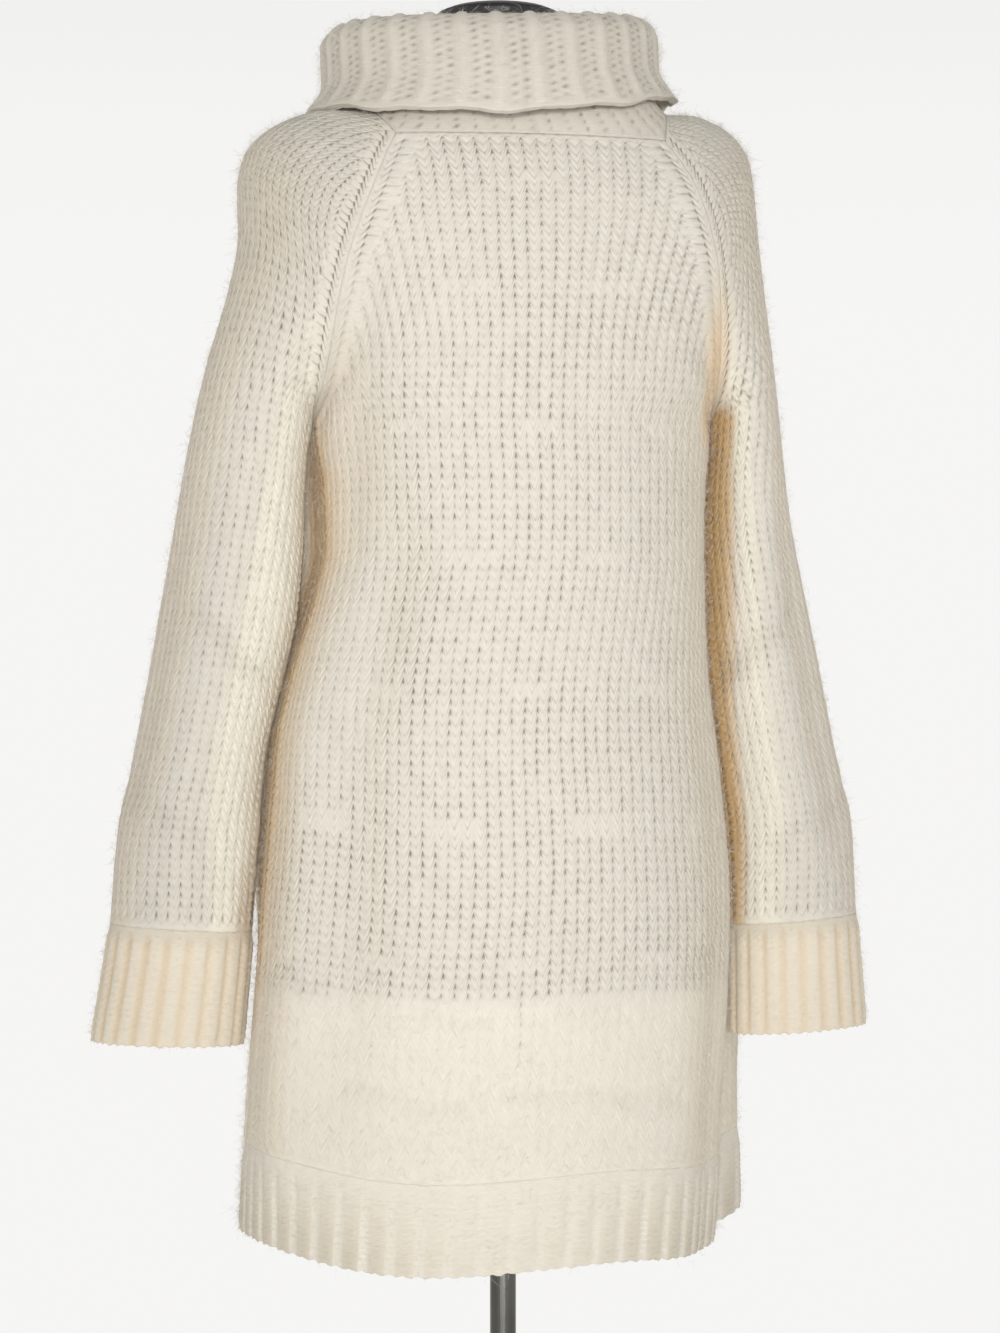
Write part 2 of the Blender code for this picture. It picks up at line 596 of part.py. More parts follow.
def collar_ring(ring, angles):
    """One ring of the collar's middle surface, clockwise from centre back."""
    middle = (ring["back_y"] + ring["front_y"]) / 2.0
    x = ring["half_width"] * np.sin(angles)
    y = middle + (ring["back_y"] - middle) * np.cos(angles)
    end_z = np.where(np.cos(angles) > 0.0, ring["back_z"], ring["front_z"])
    z = ring["side_z"] + (end_z - ring["side_z"]) * np.cos(angles) ** 2 - ring["slope"] * x
    return np.stack([x + ring["sway"], y, z], axis=-1)


def collar_grid(ring, facing, upward, rows):
    """The collar's middle surface from the neck seam to its loose edge."""
    angles = np.linspace(0.0, 2.0 * pi, len(ring))
    foot = ring - facing * WALL / 2.0 + upward * RIB_GAP
    rings = [collar_ring(entry, angles) for entry in records(COLLAR, COLLAR_COLUMNS)]
    stages = np.stack([foot] + rings)
    keys = np.arange(len(stages), dtype=float)
    at = np.linspace(0.0, keys[-1], rows)
    grid = np.empty((rows, len(ring), 3))
    for place in range(len(ring)):
        for axis in range(3):
            grid[:, place, axis] = smooth(keys, stages[:, place, axis], at)
    return grid


def make_collar(grids, normals):
    """Ribbed collar: a stand that rises from the neck seam and folds over to a loose edge."""
    columns = COLLAR_RIBS * COLUMNS_PER_RIB + 1
    ring, facing, upward = neck_ring(grids, normals, columns)
    middle = collar_grid(ring, facing, upward, COLLAR_ROWS)
    away = -tube_normals(middle)
    away[0] = facing
    ribs = rib_wave(columns)[None, :, None] * np.ones((COLLAR_ROWS, 1, 1))
    ribs[0] = 0.0
    dress_side = middle + away * WALL / 2.0
    ribbed_side = middle - away * (WALL / 2.0 + ribs)
    solid("collar", ribbed_side, dress_side, tube_numbers(COLLAR_ROWS, columns), RIB)


# --- Dress form ---------------------------------------------------------------------------------
def make_torso():
    """The form's torso, one solid from its flat underside to its flat neck top. Returns their heights."""
    angles = [2.0 * pi * i / FORM_COLUMNS_ROUND for i in range(FORM_COLUMNS_ROUND)]
    mesh = bpy.data.meshes.new("form_torso")
    body = bmesh.new()
    rings = []
    for level_row in records(FORM, FORM_COLUMNS):
        middle = (level_row["back_y"] + level_row["front_y"]) / 2.0
        depth = level_row["back_y"] - middle
        ring = [body.verts.new((level_row["half_width"] * cos(a), middle + depth * sin(a),
                                level_row["height"])) for a in angles]
        rings.append(ring)
    for lower, upper in zip(rings, rings[1:]):
        for i in range(FORM_COLUMNS_ROUND):
            j = (i + 1) % FORM_COLUMNS_ROUND
            body.faces.new((lower[i], lower[j], upper[j], upper[i]))
    body.faces.new(list(reversed(rings[0])))
    body.faces.new(rings[-1])
    body.to_mesh(mesh)
    body.free()
    add_object("form_torso", mesh, COVER)
    return FORM[0][0], FORM[-1][0]


def turned(name, profile, centre, material):
    """A turned piece: a profile of (radius, height) pairs from its top, down its outer side."""
    mesh = bpy.data.meshes.new(name)
    points = [(radius, 0.0, height) for radius, height in profile]
    mesh.from_pydata(points, [(i, i + 1) for i in range(len(points) - 1)], [])
    thing = add_object(name, mesh, material)
    thing.location = centre
    screw = thing.modifiers.new("turn", "SCREW")
    screw.steps = TURNED_STEPS
    screw.render_steps = TURNED_STEPS
    screw.use_merge_vertices = True
    screw.merge_threshold = 0.00001
    screw.use_smooth_shade = False
    return thing


def make_cap(neck_top):
    """Low domed cap on the form's neck."""
    foot = neck_top + SEAM_GAP
    rim = foot + CAP_RIM
    turns = [pi / 2.0 * i / DOME_STEPS for i in range(DOME_STEPS + 1)]
    dome = [(CAP_RADIUS * sin(turn), rim + CAP_DOME * cos(turn)) for turn in turns]
    profile = dome + [(CAP_RADIUS, foot), (0.0, foot)]
    turned("form_neck_cap", profile, (0.0, NECK_Y, 0.0), CAP)


def make_stand(torso_bottom):
    """Socket under the torso, pole, and round base with its hub."""
    bore = POLE_RADIUS + SEAM_GAP
    top = torso_bottom - SEAM_GAP
    socket = [(bore, top), (SOCKET_RADIUS, top), (SOCKET_RADIUS, top - SOCKET_FLANGE),
              (SOCKET_NECK, top - 2.0 * SOCKET_FLANGE), (SOCKET_NECK, top - SOCKET_LENGTH),
              (bore, top - SOCKET_LENGTH), (bore, top)]
    turned("form_socket", socket, (0.0, 0.0, 0.0), METAL)
    foot = BASE_THICKNESS
    pole_foot = foot + SEAM_GAP
    bpy.ops.mesh.primitive_cylinder_add(
        vertices=TURNED_STEPS, radius=POLE_RADIUS, depth=top - pole_foot,
        location=(0.0, 0.0, (top + pole_foot) / 2.0))
    pole = bpy.context.active_object
    pole.name = "form_pole"
    pole.data.materials.append(bpy.data.materials[METAL[0]])
    pole.data.shade_smooth()
    pole.data.set_sharp_from_angle(angle=radians(SHARP_ANGLE))
    for collection in list(pole.users_collection):
        collection.objects.unlink(pole)
    bpy.data.collections[NAME].objects.link(pole)
    base = [(0.0, foot), (bore, foot), (bore, HUB_HEIGHT), (HUB_RADIUS, HUB_HEIGHT),
            (HUB_RADIUS, foot + BASE_BEVEL), (HUB_RADIUS + BASE_BEVEL, foot),
            (BASE_RADIUS - BASE_BEVEL, foot), (BASE_RADIUS, foot - BASE_BEVEL),
            (BASE_RADIUS, 0.0), (0.0, 0.0)]
    turned("form_base", base, (0.0, 0.0, 0.0), METAL)


# --- Build --------------------------------------------------------------------------------------
def main():
    """Build every piece."""
    for thing in list(bpy.data.objects):
        bpy.data.objects.remove(thing)
    collection = bpy.data.collections.new(NAME)
    bpy.context.scene.collection.children.link(collection)
    for entry in (KNIT, RIB, COVER, CAP, METAL):
        make_material(*entry)
    grids, normals = measure_cloth()
    make_panels(grids, normals)
    make_sleeves(grids, normals)
    make_hems()
    make_cuffs()
    make_collar(grids, normals)
    torso_bottom, neck_top = make_torso()
    make_cap(neck_top)
    make_stand(torso_bottom)


main()
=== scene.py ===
"""Looks of the sweater dress: every piece of cloth as a knitted wall, the fuzz of its yarn, and the
dress form with its pole and base.

Metres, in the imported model's frame: +Z up, the front of the dress faces -Y and the wearer's left is
+X. The tables that give the cloth's outer face are the part's own, but for the front's first fold.
The first row of a table names its columns.
"""

from math import cos, pi, radians, sin
from types import SimpleNamespace

import bpy
import numpy as np
from mathutils import Matrix, Vector


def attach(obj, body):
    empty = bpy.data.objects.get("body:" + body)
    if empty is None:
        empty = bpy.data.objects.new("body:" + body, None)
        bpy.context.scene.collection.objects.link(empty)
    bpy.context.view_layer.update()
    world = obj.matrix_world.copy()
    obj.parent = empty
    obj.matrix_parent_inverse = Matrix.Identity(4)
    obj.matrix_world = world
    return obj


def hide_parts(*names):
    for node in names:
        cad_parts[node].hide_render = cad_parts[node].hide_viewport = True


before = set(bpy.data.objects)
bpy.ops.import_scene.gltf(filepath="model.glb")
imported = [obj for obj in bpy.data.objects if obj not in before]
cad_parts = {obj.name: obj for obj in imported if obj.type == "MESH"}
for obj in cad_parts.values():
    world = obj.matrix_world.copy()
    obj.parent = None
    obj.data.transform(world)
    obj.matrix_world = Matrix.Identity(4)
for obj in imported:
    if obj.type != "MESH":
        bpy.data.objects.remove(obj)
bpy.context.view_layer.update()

# --- The dress's outer face ---
WALL = 0.0040
RIB_HEIGHT = 0.0024
NECK = 1.362
UNDERARM = 1.142
HEM_TOP = 0.5665
HEM_EDGE = 0.4980
CUFF_TOP = 0.748
CUFF_EDGE = 0.660
HEM_SIDE_LIFT = 0.011
HEM_FRONT_LIFT = 0.020
HEM_TILT = 0.006
HEM_WAVE = 0.003
HEM_WAVES = 2
LIFT_START = 1.10
SEAM_FADE_POWER = 10
UNDERARM_FADE = 0.060
HEM_RIBS = 26
CUFF_RIBS = 21
COLLAR_RIBS = 29
FORM_BOTTOM = 0.705

BODY = (
    ("height", "left_x", "right_x", "seam_y", "back_y", "front_y"),
    (1.362, 0.0965, 0.1145, -0.0160, 0.0880, -0.1220),
    (1.345, 0.1050, 0.1265, -0.0140, 0.0940, -0.1280),
    (1.328, 0.1120, 0.1360, -0.0130, 0.0980, -0.1320),
    (1.308, 0.1200, 0.1440, -0.0125, 0.1005, -0.1350),
    (1.287, 0.1275, 0.1510, -0.0120, 0.1020, -0.1370),
    (1.264, 0.1340, 0.1570, -0.0115, 0.1030, -0.1390),
    (1.238, 0.1385, 0.1610, -0.0115, 0.1035, -0.1410),
    (1.208, 0.1420, 0.1645, -0.0115, 0.1030, -0.1420),
    (1.174, 0.1460, 0.1675, -0.0120, 0.1020, -0.1420),
    (1.142, 0.1500, 0.1700, -0.0180, 0.1010, -0.1410),
    (1.100, 0.1430, 0.1655, -0.0180, 0.1005, -0.1400),
    (1.050, 0.1410, 0.1640, -0.0170, 0.1000, -0.1380),
    (1.008, 0.1490, 0.1645, -0.0160, 0.1000, -0.1360),
    (0.945, 0.1665, 0.1680, -0.0150, 0.1010, -0.1350),
    (0.897, 0.1775, 0.1745, -0.0150, 0.1020, -0.1350),
    (0.850, 0.1820, 0.1800, -0.0150, 0.1030, -0.1350),
    (0.771, 0.1885, 0.1860, -0.0150, 0.1040, -0.1350),
    (0.692, 0.1935, 0.1840, -0.0160, 0.1050, -0.1360),
    (0.600, 0.2000, 0.1790, -0.0180, 0.1070, -0.1390),
    (0.498, 0.2050, 0.1730, -0.0200, 0.1090, -0.1420),
)
TURN = (
    ("height", "turn"),
    (1.362, 50.0), (1.345, 48.0), (1.328, 46.0), (1.308, 46.0), (1.287, 48.0),
    (1.264, 53.0), (1.238, 60.0), (1.208, 70.0), (1.174, 80.0), (1.142, 90.0), (0.498, 90.0),
)
RING = (
    ("height", "reach", "half_depth", "tilt", "out_y"),
    (1.362, 60.0, 0.1040, 0.0214, -0.0180),
    (1.345, 64.0, 0.1045, 0.0200, -0.0180),
    (1.328, 68.0, 0.1044, 0.0183, -0.0190),
    (1.308, 73.0, 0.1010, 0.0167, -0.0210),
    (1.287, 80.0, 0.0945, 0.0152, -0.0230),
    (1.264, 90.0, 0.0865, 0.0135, -0.0250),
    (1.238, 103.0, 0.0785, 0.0118, -0.0260),
    (1.208, 120.0, 0.0710, 0.0104, -0.0280),
    (1.174, 145.0, 0.0660, 0.0080, -0.0290),
    (1.142, 180.0, 0.0610, 0.0060, -0.0300),
    (1.060, 180.0, 0.0570, 0.0030, -0.0310),
    (0.940, 180.0, 0.0520, 0.0000, -0.0320),
    (0.820, 180.0, 0.0470, 0.0000, -0.0320),
    (0.748, 180.0, 0.0420, 0.0000, -0.0320),
    (0.660, 180.0, 0.0370, 0.0000, -0.0320),
)
OUTSIDE = (
    ("height", "left_x", "left_z", "right_x", "right_z"),
    (1.362, 0.1170, 1.3860, 0.1270, 1.3910),
    (1.345, 0.1450, 1.3875, 0.1500, 1.3930),
    (1.328, 0.1705, 1.3820, 0.1720, 1.3875),
    (1.308, 0.1905, 1.3710, 0.1900, 1.3765),
    (1.287, 0.2035, 1.3550, 0.2010, 1.3610),
    (1.264, 0.2075, 1.3330, 0.2055, 1.3390),
    (1.238, 0.2065, 1.2960, 0.2090, 1.3010),
    (1.208, 0.2145, 1.2505, 0.2150, 1.2535),
    (1.174, 0.2290, 1.2000, 0.2220, 1.2020),
    (1.142, 0.2385, 1.1600, 0.2275, 1.1600),
    (1.060, 0.2545, 1.0750, 0.2395, 1.0750),
    (1.000, 0.2660, 1.0130, 0.2525, 1.0130),
    (0.940, 0.2770, 0.9510, 0.2660, 0.9510),
    (0.880, 0.2885, 0.8900, 0.2785, 0.8900),
    (0.820, 0.3005, 0.8290, 0.2930, 0.8290),
    (0.748, 0.3065, 0.7550, 0.2970, 0.7560),
    (0.660, 0.3205, 0.6640, 0.3045, 0.6670),
)
INSIDE = (
    ("height", "left_x", "right_x"),
    (1.142, 0.1500, 0.1700),
    (1.120, 0.1535, 0.1705),
    (1.060, 0.1550, 0.1700),
    (1.000, 0.1590, 0.1710),
    (0.940, 0.1720, 0.1740),
    (0.880, 0.1850, 0.1815),
    (0.820, 0.1895, 0.1890),
    (0.748, 0.1955, 0.1915),
    (0.660, 0.2030, 0.1925),
)
FOLDS = (
    ("piece", "angle", "spread", "push", "top", "upper", "lower", "bottom"),
    ("front", 62.0, 15.0, 0.0290, 1.17, 1.09, 0.88, 0.66),
    ("front", -71.0, 11.0, 0.0460, 0.76, 0.63, 0.40, 0.30),
    ("front", -74.0, 12.0, 0.0160, 0.64, 0.46, 0.40, 0.30),
    ("front", -22.0, 12.0, -0.0090, 1.05, 0.75, 0.40, 0.30),
    ("front", 8.0, 11.0, 0.0070, 1.10, 0.80, 0.40, 0.30),
    ("front", 34.0, 13.0, -0.0100, 1.15, 0.85, 0.40, 0.30),
    ("front", 60.0, 12.0, 0.0090, 1.05, 0.80, 0.40, 0.30),
    ("back", 64.0, 11.0, 0.0070, 1.10, 0.95, 0.62, 0.45),
    ("back", 44.0, 10.0, -0.0060, 1.12, 0.98, 0.75, 0.52),
    ("back", -66.0, 10.0, -0.0050, 1.02, 0.85, 0.50, 0.40),
    ("back", -46.0, 12.0, 0.0035, 0.80, 0.62, 0.40, 0.30),
    ("sleeve_left", 75.0, 26.0, 0.0045, 1.12, 0.98, 0.86, 0.76),
    ("sleeve_left", 20.0, 20.0, -0.0050, 1.10, 1.00, 0.90, 0.78),
    ("sleeve_left", -70.0, 24.0, -0.0060, 1.12, 1.00, 0.84, 0.76),
    ("sleeve_right", 48.0, 20.0, -0.0060, 1.12, 1.02, 0.84, 0.76),
    ("sleeve_right", 98.0, 24.0, 0.0040, 1.10, 0.98, 0.86, 0.76),
    ("sleeve_right", -62.0, 24.0, -0.0055, 1.12, 1.00, 0.84, 0.76),
)
COLLAR = (
    ("half_width", "back_y", "front_y", "back_z", "side_z", "front_z", "sway", "slope"),
    (0.1110, 0.0720, -0.1300, 1.4180, 1.4300, 1.3780, 0.0040, 0.057),
    (0.1090, 0.0700, -0.1330, 1.4440, 1.4535, 1.4050, 0.0055, 0.048),
    (0.1195, 0.0775, -0.1440, 1.4540, 1.4640, 1.4160, 0.0065, 0.042),
    (0.1315, 0.0890, -0.1550, 1.4450, 1.4525, 1.4050, 0.0055, 0.050),
    (0.1315, 0.1000, -0.1660, 1.4130, 1.4240, 1.3640, 0.0045, 0.057),
    (0.1465, 0.1080, -0.1720, 1.3770, 1.3995, 1.3200, 0.0045, 0.057),
)

# --- The knit ---
# Width of a wale and height of a course, from the neck down.
PANEL_GAUGE = (
    ("height", "wale", "course"),
    (1.362, 0.0120, 0.0060),
    (1.300, 0.0113, 0.0064),
    (1.250, 0.0103, 0.0072),
    (1.190, 0.0095, 0.0077),
    (1.000, 0.0094, 0.0077),
    (0.850, 0.0098, 0.0077),
    (0.700, 0.0102, 0.0076),
    (0.566, 0.0104, 0.0074),
)
SLEEVE_GAUGE = (
    ("height", "wale", "course"),
    (1.362, 0.0086, 0.0046),
    (1.300, 0.0086, 0.0050),
    (1.240, 0.0090, 0.0060),
    (1.142, 0.0094, 0.0070),
    (0.950, 0.0094, 0.0074),
    (0.748, 0.0090, 0.0074),
)
WALE_STEPS = (0.0, 0.19, 0.5, 0.81)      # columns of mesh in a wale: furrow, leg, middle, leg
BAND_STEPS = (-0.13, 0.0, 0.19, 0.5, 0.81, 1.0)  # and of the plain band along a seam, from its line
ROWS_PER_COURSE = 4
COURSE_SAMPLES = 400      # of height, from which courses are counted
BAND = 0.0092             # width of that band
SNAP = 0.55               # share of a wale within which a column joins the band's line
ARC_SAMPLES = 81          # across a piece, from which wales are counted
LEAN = 1.5                # how far a stitch's legs climb, in courses
BAND_LEAN = 0.6           # share of that in the plain band
PROUD = 0.0004            # how far the yarn stands out of the solid's face
JOIN = 0.0001             # and how far it does along a piece's edge
GROOVE = 0.00045          # between two stitches of a wale
FURROW = 0.0008           # between two wales
HOLE = 0.0024             # at the corner of four stitches
DIMPLE = 0.0006           # in the middle of a stitch
HOLE_OPEN = (0.46, 1.0)   # least and most that a hole is open
LINE_OPEN = (0.85, 1.15)  # and one on a band's line
LINE_DEPTH = 0.45         # share of a hole's depth that those have
OPEN_DRIFT = 0.22         # how much wider or narrower whole stretches of holes are
JITTER = 0.00045          # how unevenly the stitches lie
WANDER = 0.0011           # and how far whole wales stray
WAVINESS = 0.10           # how far the courses stray, in courses
SCATTER = 0.03            # and how far each point does
SWELL = 0.0005            # how far stretches of knit stand out or in
ROUGH = 0.00012           # and how far single points of its yarn do
BACK_COLUMNS = 24         # columns of mesh on the plain inner face
SLOPE_STEP = 0.0005       # over which the slope of a face is measured

# Short dashes of filled holes in the knit, in staggered rows.
DASH_COURSES = 13.3       # from row to row
DASH_WALES = 11.0         # from dash to dash in a row
DASH_LENGTH = 1.6         # wales that a dash reaches to either side
DASH_START = 6.0          # courses above the first row
DASH_FILL = 0.8           # how far a dash fills its holes
DASH_RISE = 0.0002        # and how far it stands out

# Painted shade: how dark the middle of a stitch looks, at least and at most, and the yarn round a hole.
STITCH_DARK = (0.22, 0.44)
BELOW_HOLE = 0.55
BESIDE_HOLE = 0.45
CREASE_SHADE = 55.0       # how dark a crease looks for each metre of its depth

# Shallow creases: both ends as distance from the piece's middle line and height, then width and depth.
CREASES = (
    ("piece", "from_arc", "from_height", "to_arc", "to_height", "width", "depth"),
    ("back", 0.196, 0.712, 0.165, 0.704, 0.006, 0.0022),
    ("back", 0.080, 0.697, 0.030, 0.690, 0.005, 0.0020),
    ("back", -0.036, 0.695, -0.080, 0.692, 0.005, 0.0020),
    ("back", 0.128, 0.634, 0.042, 0.628, 0.006, 0.0022),
    ("back", 0.000, 0.632, -0.140, 0.622, 0.006, 0.0020),
    ("back", -0.150, 0.720, -0.190, 0.735, 0.007, 0.0018),
    ("back", 0.150, 1.190, 0.190, 1.150, 0.010, 0.0030),
    ("back", -0.150, 1.190, -0.185, 1.150, 0.010, 0.0026),
    ("back", 0.130, 1.240, 0.150, 1.060, 0.017, 0.0024),
    ("back", 0.150, 1.015, 0.156, 0.930, 0.017, 0.0018),
    ("front", 0.150, 0.700, 0.100, 0.692, 0.006, 0.0022),
    ("front", 0.040, 0.688, -0.030, 0.696, 0.006, 0.0020),
    ("front", -0.090, 0.645, -0.160, 0.630, 0.007, 0.0024),
    ("front", 0.120, 0.628, 0.030, 0.622, 0.006, 0.0020),
    ("front", 0.150, 1.190, 0.190, 1.150, 0.010, 0.0030),
    ("front", -0.150, 1.190, -0.185, 1.150, 0.010, 0.0026),
    ("sleeve_left", 0.060, 1.010, 0.120, 0.970, 0.010, 0.0026),
    ("sleeve_left", 0.080, 0.900, 0.020, 0.860, 0.009, 0.0020),
    ("sleeve_left", -0.050, 0.985, -0.120, 0.950, 0.011, 0.0026),
    ("sleeve_left", -0.020, 0.850, -0.090, 0.820, 0.009, 0.0020),
    ("sleeve_right", -0.060, 1.000, -0.120, 0.965, 0.010, 0.0026),
    ("sleeve_right", -0.080, 0.895, -0.015, 0.865, 0.009, 0.0020),
    ("sleeve_right", 0.050, 0.990, 0.120, 0.955, 0.011, 0.0026),
    ("sleeve_right", 0.020, 0.845, 0.095, 0.815, 0.009, 0.0020),
)

# Ribbing: columns of mesh in a rib from furrow to furrow, and height of a course.
RIB_STEPS = (0.0, 0.13, 0.22, 0.36, 0.5, 0.64, 0.78, 0.87)
COLLAR_STEPS = (0.0, 0.15, 0.30, 0.40, 0.5, 0.60, 0.70, 0.85)
HEM_COURSE = 0.0043
CUFF_COURSE = 0.0052
COLLAR_COURSE = 0.0062
BAND_INNER_ROWS = 9       # rows of mesh on the plain inner face of a hem or cuff
COLLAR_CLIMB = 0.10       # how far the yarn of its ribs climbs, in courses
COLLAR_HOLE = 0.0013      # how deep the collar's holes are
COLLAR_OPEN = (0.36, 0.76)               # least and most that they are open
COLLAR_PLY = 0.00025      # and how far the yarn beside them stands out
COLLAR_WAVES = ((0.0012, 9.0, 1.0), (0.0009, 17.0, 0.0))  # of its edge: height, number round, phase
STAND_RIB = 0.0007        # ribs on the side that lies against the neck
STAND_HOLE = 0.0010       # and holes between them
STAND_OPEN = (0.30, 0.80)                # least and most that those are open
STAND_ROWS = 9.0          # courses of that side whose holes look dark
RIB_CLIMB = 0.40          # how far the yarn of a hem's or cuff's rib climbs, in courses
RIB_GROOVE = 0.00035      # along the middle of a hem's or cuff's rib
RIB_WAVE = 0.00022        # how far each course swells on it
RUNG_PROUD = 0.00035      # how far a rung between two ribs stands out
RUNG_SUNK = 0.00025       # and how deep the gap between two rungs is
SCALLOP = 0.0013          # how far the loose edge curves between two wales
TUCK = 0.00006            # how far a band's first row lies behind the knit above it
RISE = 0.0008             # and how far it goes up behind it

# Hairs of the yarn.
HAIRS = 95000             # on a square metre
HAIR_LENGTH = 0.0078
HAIR_WIDTH = 0.00022
HAIR_ROOT = 0.0003        # how deep a hair starts
HAIR_RISE = (0.10, 1.1)   # least and most that it stands up, as a share of how far it leans
HAIR_BEND = 0.7           # how much its outer half turns aside
HAIR_CURL = 0.25          # and back to the cloth
HAIR_DROOP = 0.15         # and downwards
ROOT_SCATTER = 0.0016

# How each piece was cut: its widest width and its length before it was sewn, and its area where the
# cut isn't a rectangle.
CUT = (
    ("piece", "width", "length", "area"),
    ("back", 0.506, 0.799, 0.338),
    ("front", 0.561, 0.731, 0.335),
    ("sleeve_left", 0.339, 0.709, 0.204),
    ("sleeve_right", 0.310, 0.701, 0.185),
    ("hem_back", 0.507, 0.069, None),
    ("hem_front", 0.573, 0.069, None),
    ("cuff_left", 0.308, 0.090, None),
    ("cuff_right", 0.299, 0.089, None),
    ("collar", 0.846, 0.187, None),
)

CAMERA_AZIMUTH = 170.0
CAMERA_DISTANCE = 2.486
CAMERA_HEIGHT = 0.956
CAMERA_ASIDE = -0.00237
LENS = 85.0
SENSOR = 36.0

# --- Tables and curves ---
TINY = 1e-12


def records(table):
    """A table's rows, each as a dictionary of its named columns."""
    return [dict(zip(table[0], row)) for row in table[1:]]


def smooth(keys, values, at):
    """Monotone cubic through (keys, values), read at the points `at`."""
    steps = np.diff(keys)
    slopes = np.diff(values) / steps
    before, after = slopes[:-1], slopes[1:]
    same_sign = before * after > 0.0
    weight_a = (2.0 * steps[1:] + steps[:-1])[same_sign]
    weight_b = (steps[1:] + 2.0 * steps[:-1])[same_sign]
    tangents = np.zeros(len(keys))
    tangents[0] = slopes[0]
    tangents[-1] = slopes[-1]
    tangents[1:-1][same_sign] = (weight_a + weight_b) / (
        weight_a / before[same_sign] + weight_b / after[same_sign])
    cell = np.clip(np.searchsorted(keys, at) - 1, 0, len(steps) - 1)
    u = np.clip((at - keys[cell]) / steps[cell], 0.0, 1.0)
    start = (1 + 2 * u) * (1 - u) ** 2 * values[cell] + u * (1 - u) ** 2 * steps[cell] * tangents[cell]
    end = u * u * (3 - 2 * u) * values[cell + 1] + u * u * (u - 1) * steps[cell] * tangents[cell + 1]
    return start + end


def read(table, name, at):
    """A table's named column, read smoothly at the heights `at`."""
    rows = sorted(table[1:])
    column = table[0].index(name)
    return smooth(np.array([row[0] for row in rows]), np.array([row[column] for row in rows]), at)


def step(value, start, end):
    """Smooth step, from 0 where a value is at start to 1 where it is at end."""
    share = np.clip((value - start) / (end - start), 0.0, 1.0)
    return share * share * (3.0 - 2.0 * share)


def bell(value, middle, width):
    """Bell curve, 1 in its middle."""
    return np.exp(-((value - middle) / width) ** 2)


def unit(vectors):
    """Vectors scaled to length 1."""
    return vectors / np.maximum(np.linalg.norm(vectors, axis=-1, keepdims=True), TINY)


def spacing(points, axis=0):
    """Distances between neighbouring points along an axis of a grid."""
    return np.linalg.norm(np.diff(points, axis=axis), axis=-1)


def summed(steps):
    """Running totals of rows of steps, each from 0."""
    return np.concatenate([np.zeros_like(steps[..., :1]), np.cumsum(steps, axis=-1)], axis=-1)


# --- The cloth's surfaces, read at any height and place across ---
NEXT = {"back": "sleeve_left", "sleeve_left": "front", "front": "sleeve_right", "sleeve_right": "back"}
BEFORE = {following: piece for piece, following in NEXT.items()}
OPPOSITE = {"back": "front", "front": "back"}
SEAM_BLEND = 0.012        # width over which a normal turns to the one shared at a seam
CORNER_BLEND = 0.020      # height over which it turns downwards at the underarm


def is_sleeve(piece):
    """Whether a piece is a sleeve, which is a tube below the underarm, and not a body panel."""
    return piece.startswith("sleeve")


def folds(piece, angles, heights):
    """How far the folds of a piece push each point outwards."""
    push = np.zeros(np.shape(heights))
    for fold in records(FOLDS):
        if fold["piece"] == piece:
            fade = step(heights, fold["top"], fold["upper"]) * step(heights, fold["bottom"], fold["lower"])
            push = push + fold["push"] * fade * bell(angles, fold["angle"], fold["spread"])
    return push


def panel_base(piece, heights, across):
    """Points of a body panel before its folds, and the angle each point is turned to."""
    side = 1.0 if piece == "back" else -1.0
    left = read(BODY, "left_x", heights)
    right = read(BODY, "right_x", heights)
    reach = np.radians(read(RING, "reach", heights))
    seam = read(BODY, "seam_y", heights) + side * read(RING, "half_depth", heights) * np.sin(reach)
    middle = read(BODY, piece + "_y", heights)
    turn = np.radians(read(TURN, "turn", heights))
    angle = turn * across
    x = (left - right) / 2.0 + side * (left + right) / 2.0 * np.sin(angle) / np.sin(turn)
    y = seam + (middle - seam) * (np.cos(angle) - np.cos(turn)) / (1.0 - np.cos(turn))
    if piece == "back":
        lift = HEM_SIDE_LIFT * (1.0 - np.cos(angle))
        drop = 0.0
    else:
        lift = HEM_SIDE_LIFT + HEM_FRONT_LIFT * np.cos(angle)
        drop = 2.0 * read(RING, "tilt", heights) * np.sin(reach)
    lift = lift + HEM_TILT * side * np.sin(angle) ** 3 - HEM_WAVE * np.sin(2.0 * HEM_WAVES * angle)
    z = heights - drop + lift * step(heights, LIFT_START, HEM_TOP)
    return np.stack([x, y, z], axis=-1), side * np.degrees(angle)


def sleeve_base(piece, heights, around):
    """Points of a sleeve before its folds, and the angle each point is turned to."""
    side, name = (1.0, "left") if piece == "sleeve_left" else (-1.0, "right")
    reach = np.radians(read(RING, "reach", heights))
    tilt = read(RING, "tilt", heights)
    out_y = read(RING, "out_y", heights)
    yoke = heights > UNDERARM
    in_x = np.where(yoke, read(BODY, name + "_x", heights), read(INSIDE, name + "_x", heights))
    fade = 1.0 - step(heights, UNDERARM, UNDERARM - UNDERARM_FADE)
    below = out_y + (read(BODY, "seam_y", UNDERARM) - out_y) * fade
    in_y = np.where(yoke, read(BODY, "seam_y", heights), below)
    in_z = heights - tilt * np.sin(reach)
    angle = -side * reach * around
    out = (np.cos(angle) - np.cos(reach)) / (1.0 - np.cos(reach))
    x = side * (in_x + (read(OUTSIDE, name + "_x", heights) - in_x) * out)
    y = in_y + (out_y - in_y) * out + read(RING, "half_depth", heights) * np.sin(angle)
    z = in_z + (read(OUTSIDE, name + "_z", heights) - in_z) * out + tilt * np.sin(angle)
    return np.stack([x, y, z], axis=-1), np.degrees(angle)


